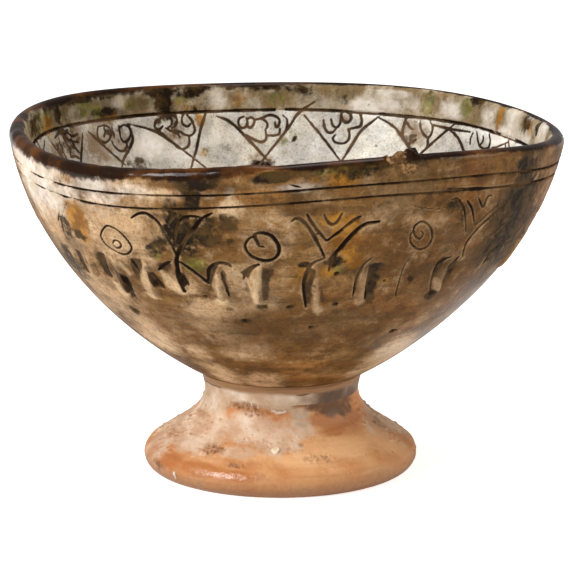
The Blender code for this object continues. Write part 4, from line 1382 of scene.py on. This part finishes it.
slurryFinish = {
    "pale": [(194, 160, 128), (228, 210, 188)], "cloud": (164, 126, 92),
    "brown": [(158, 118, 78), (104, 72, 42)], "dusky": [(74, 49, 30), (110, 78, 49)], "seam": (48, 32, 20),
    "roughness": 0.6, "bump": 0.45 * mm,
}


def slurryTint(p, middle):
    # pale slurry with brown clouds, the same on the joint and where it ran down the foot
    tint = p.between(middle, 0.36, 0.66, slurryFinish["pale"])
    return p.over(tint, p.noise(45, 4, 0.6).ramp(0.48, 0.62) * 0.45, slurryFinish["cloud"])


def slurry(piece, name):
    # darker and browner on one side, partly painted shade under the bowl away from the light, and the brown
    # of the wall has run on to it with a broken dark edge
    p = Paint(name)
    tints = slurryFinish
    broad, middle, small = p.noise(45, 4, 0.6), p.noise(110, 4, 0.6), p.noise(700, 3, 0.6)
    streak, brushed = p.noise(1, 4, 0.6, stretch=(30, 30, 420)), p.noise(1, 3, 0.6, stretch=(260, 260, 30))
    edge = p.attribute("glazed") + (broad - 0.5) * 2.0 + (middle - 0.5) * 1.2
    # painted shade on the side away from the light, with brown in it
    brownAndShade = (p.attribute("brown") + (broad - 0.5) * 1.4).ramp(0.25, 0.85)
    ground = p.over(slurryTint(p, middle), brownAndShade * 0.95, p.between(brushed, 0.4, 0.6, tints["dusky"]))
    ground = p.over(ground, edge.ramp(0.4, 1.7), p.between(streak, 0.45, 0.65, tints["brown"]))
    dark = edge.ramp(1.0, 1.2) * (1 - edge.ramp(1.3, 1.5)) * broad.ramp(0.48, 0.54)
    ground = p.over(ground, dark, tints["seam"])
    skin = p.bump(middle * 0.5 + small * 0.5 + streak * 0.3, tints["bump"])
    p.finish(piece, {"Base Color": ground, "Roughness": tints["roughness"], "Normal": skin})


clayFinish = {
    "ground": [(0.35, (186, 120, 68)), (0.5, (212, 150, 96)), (0.65, (228, 176, 124))],
    "throwing": (160, 104, 64), "warm": (240, 188, 136), "pink": [(200, 164, 134), (222, 196, 170)],
    "crust": [(112, 70, 38), (178, 122, 74)], "amber": (178, 104, 48), "grey": (90, 60, 36),
    # low: painted shade towards the base
    "flake": [(246, 240, 224), (222, 190, 136)], "low": (116, 74, 36),
    "roughness": 0.75, "stainedRoughness": 0.72, "bump": 0.45 * mm,
}


def clay(piece, name, stained):
    p = Paint(name)
    tints = clayFinish
    broad, middle, small = p.noise(26, 4, 0.6), p.noise(110, 4, 0.6), p.noise(700, 3, 0.6)
    throwing = p.noise(1, 3, 0.6, stretch=(25, 25, 520))
    ground = p.tint(broad * 0.5 + middle * 0.5, tints["ground"])
    ground = p.over(ground, throwing.ramp(0.5, 0.7) * 0.3, tints["throwing"])
    rough = tints["roughness"]
    if stained:
        wobble = (middle - 0.5) * 1.0 + (small - 0.5) * 0.6
        low, amber = p.attribute("low"), p.attribute("amber")

        def spread(layer, ragged, start, full):
            return (p.attribute(layer) + wobble * ragged).ramp(start, full)

        pink = spread("pink", 1.6, 0.25, 0.75)
        # lighter orange, partly a painted sheen on the flare
        ground = p.over(ground, spread("warm", 0.8, 0.1, 1.0) * 0.9, tints["warm"])
        ground = p.over(ground, pink * 0.85, p.between(middle, 0.4, 0.6, tints["pink"]))
        ground = p.over(ground, spread("pale", 1.0, 0.12, 0.65), slurryTint(p, middle))
        crust = p.between(small, 0.4, 0.6, tints["crust"])
        ground = p.over(ground, spread("crust", 1.0, 0.35, 1.0) * 0.8, crust)
        ground = p.over(ground, spread("amber", 1.0, 0.2, 0.8) * 0.7, tints["amber"])
        # dark brown, partly painted shade on the neck under the bowl
        ground = p.over(ground, spread("grey", 1.5, 0.2, 0.95) * 0.9, tints["grey"])
        flake = p.between(middle, 0.45, 0.6, tints["flake"])
        ground = p.over(ground, p.attribute("white").ramp(0.4, 0.7), flake)
        # painted shade of the floor contact, darker towards the base
        ground = p.over(ground, spread("low", 0.3, 0.42, 0.9) * 0.8, tints["low"])
        rough = tints["stainedRoughness"] - (low * 0.3 + amber.ramp(0.2, 0.8) * 0.3) * (1 - pink)
    skin = p.bump(middle * 0.5 + small * 0.5 + throwing * 0.3, tints["bump"])
    p.finish(piece, {"Base Color": ground, "Roughness": rough, "Normal": skin})


# camera, light and floor; each lamp by place, size, power and colour
studio = {
    "floorSize": 12, "floorColour": (0.9, 0.9, 0.9), "floorRoughness": 0.8,
    "floorLit": (0.35, 0.35, 0.35), "floorShown": (0.75, 0.75, 0.75),
    "backdropLit": (0.25, 0.25, 0.25), "backdropShown": (1.0, 1.0, 1.0), "aim": (0, 0, 0.06),
    "lamps": [((-0.75, -0.5, 0.7), 0.4, 11, (1, 1, 1)), ((0.1, 0.15, 1.0), 0.5, 3.5, (1, 1, 1)),
              ((0.9, -0.1, 0.5), 0.4, 2.6, (1.0, 0.87, 0.72))],
}


def stand():
    v = photoView
    bpy.ops.object.select_all(action="DESELECT")
    out = v["distance"] * math.cos(v["elevation"])
    up = v["targetHeight"] + v["distance"] * math.sin(v["elevation"])
    bpy.ops.object.camera_add(location=(v["targetX"], -out, up), rotation=(90 * deg - v["elevation"], 0, 0))
    camera = bpy.context.object
    camera.data.sensor_width = v["sensor"]
    camera.data.lens = v["focal"] / v["size"] * v["sensor"]
    camera.data.clip_start = 10 * mm
    bpy.context.scene.camera = camera
    bpy.ops.mesh.primitive_plane_add(size=studio["floorSize"], location=(0, 0, 0))
    floor = bpy.context.object
    floor.name = "floor"
    floor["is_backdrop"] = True
    pale = Paint("paleFloor")
    glow = pale.litAndShown(studio["floorLit"], studio["floorShown"])
    pale.finish(floor, {"Base Color": studio["floorColour"], "Roughness": studio["floorRoughness"],
                        "Emission Color": glow, "Emission Strength": 1.0})
    for place, size, power, colour in studio["lamps"]:
        bpy.ops.object.light_add(type="AREA", location=place)
        lamp = bpy.context.object
        lamp.data.size = size
        lamp.data.energy = power
        lamp.data.color = colour
        aim = np.array(studio["aim"]) - np.array(place)
        lamp.rotation_euler = (math.acos(aim[2] / np.linalg.norm(aim)) - math.pi, 0,
                               math.atan2(aim[1], aim[0]) + math.pi / 2)
    # a white backdrop that lights the bowl less than it shows
    world = bpy.data.worlds.new("studio")
    bpy.context.scene.world = world
    world.use_nodes = True
    sky = Paint(world, "Background")
    sky.plug(sky.shader.inputs["Color"], sky.litAndShown(studio["backdropLit"], studio["backdropShown"]))
    bpy.context.scene.view_settings.view_transform = "Standard"


stand()
glaze(wallCoat, "wallGlaze", outerGlaze)
glaze(rimCoat, "rimGlaze", outerGlaze)
glaze(innerCoat, "innerGlaze", innerGlaze)
clay(thrownFoot, "footClay", True)
slurry(lutingBead, "lutingSlurry")
clay(bpy.data.objects["bowl"], "bowlClay", False)
print("glazed")

size = {"cad": [list(c) for c in cadBox], "visual": [list(c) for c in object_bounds()]}
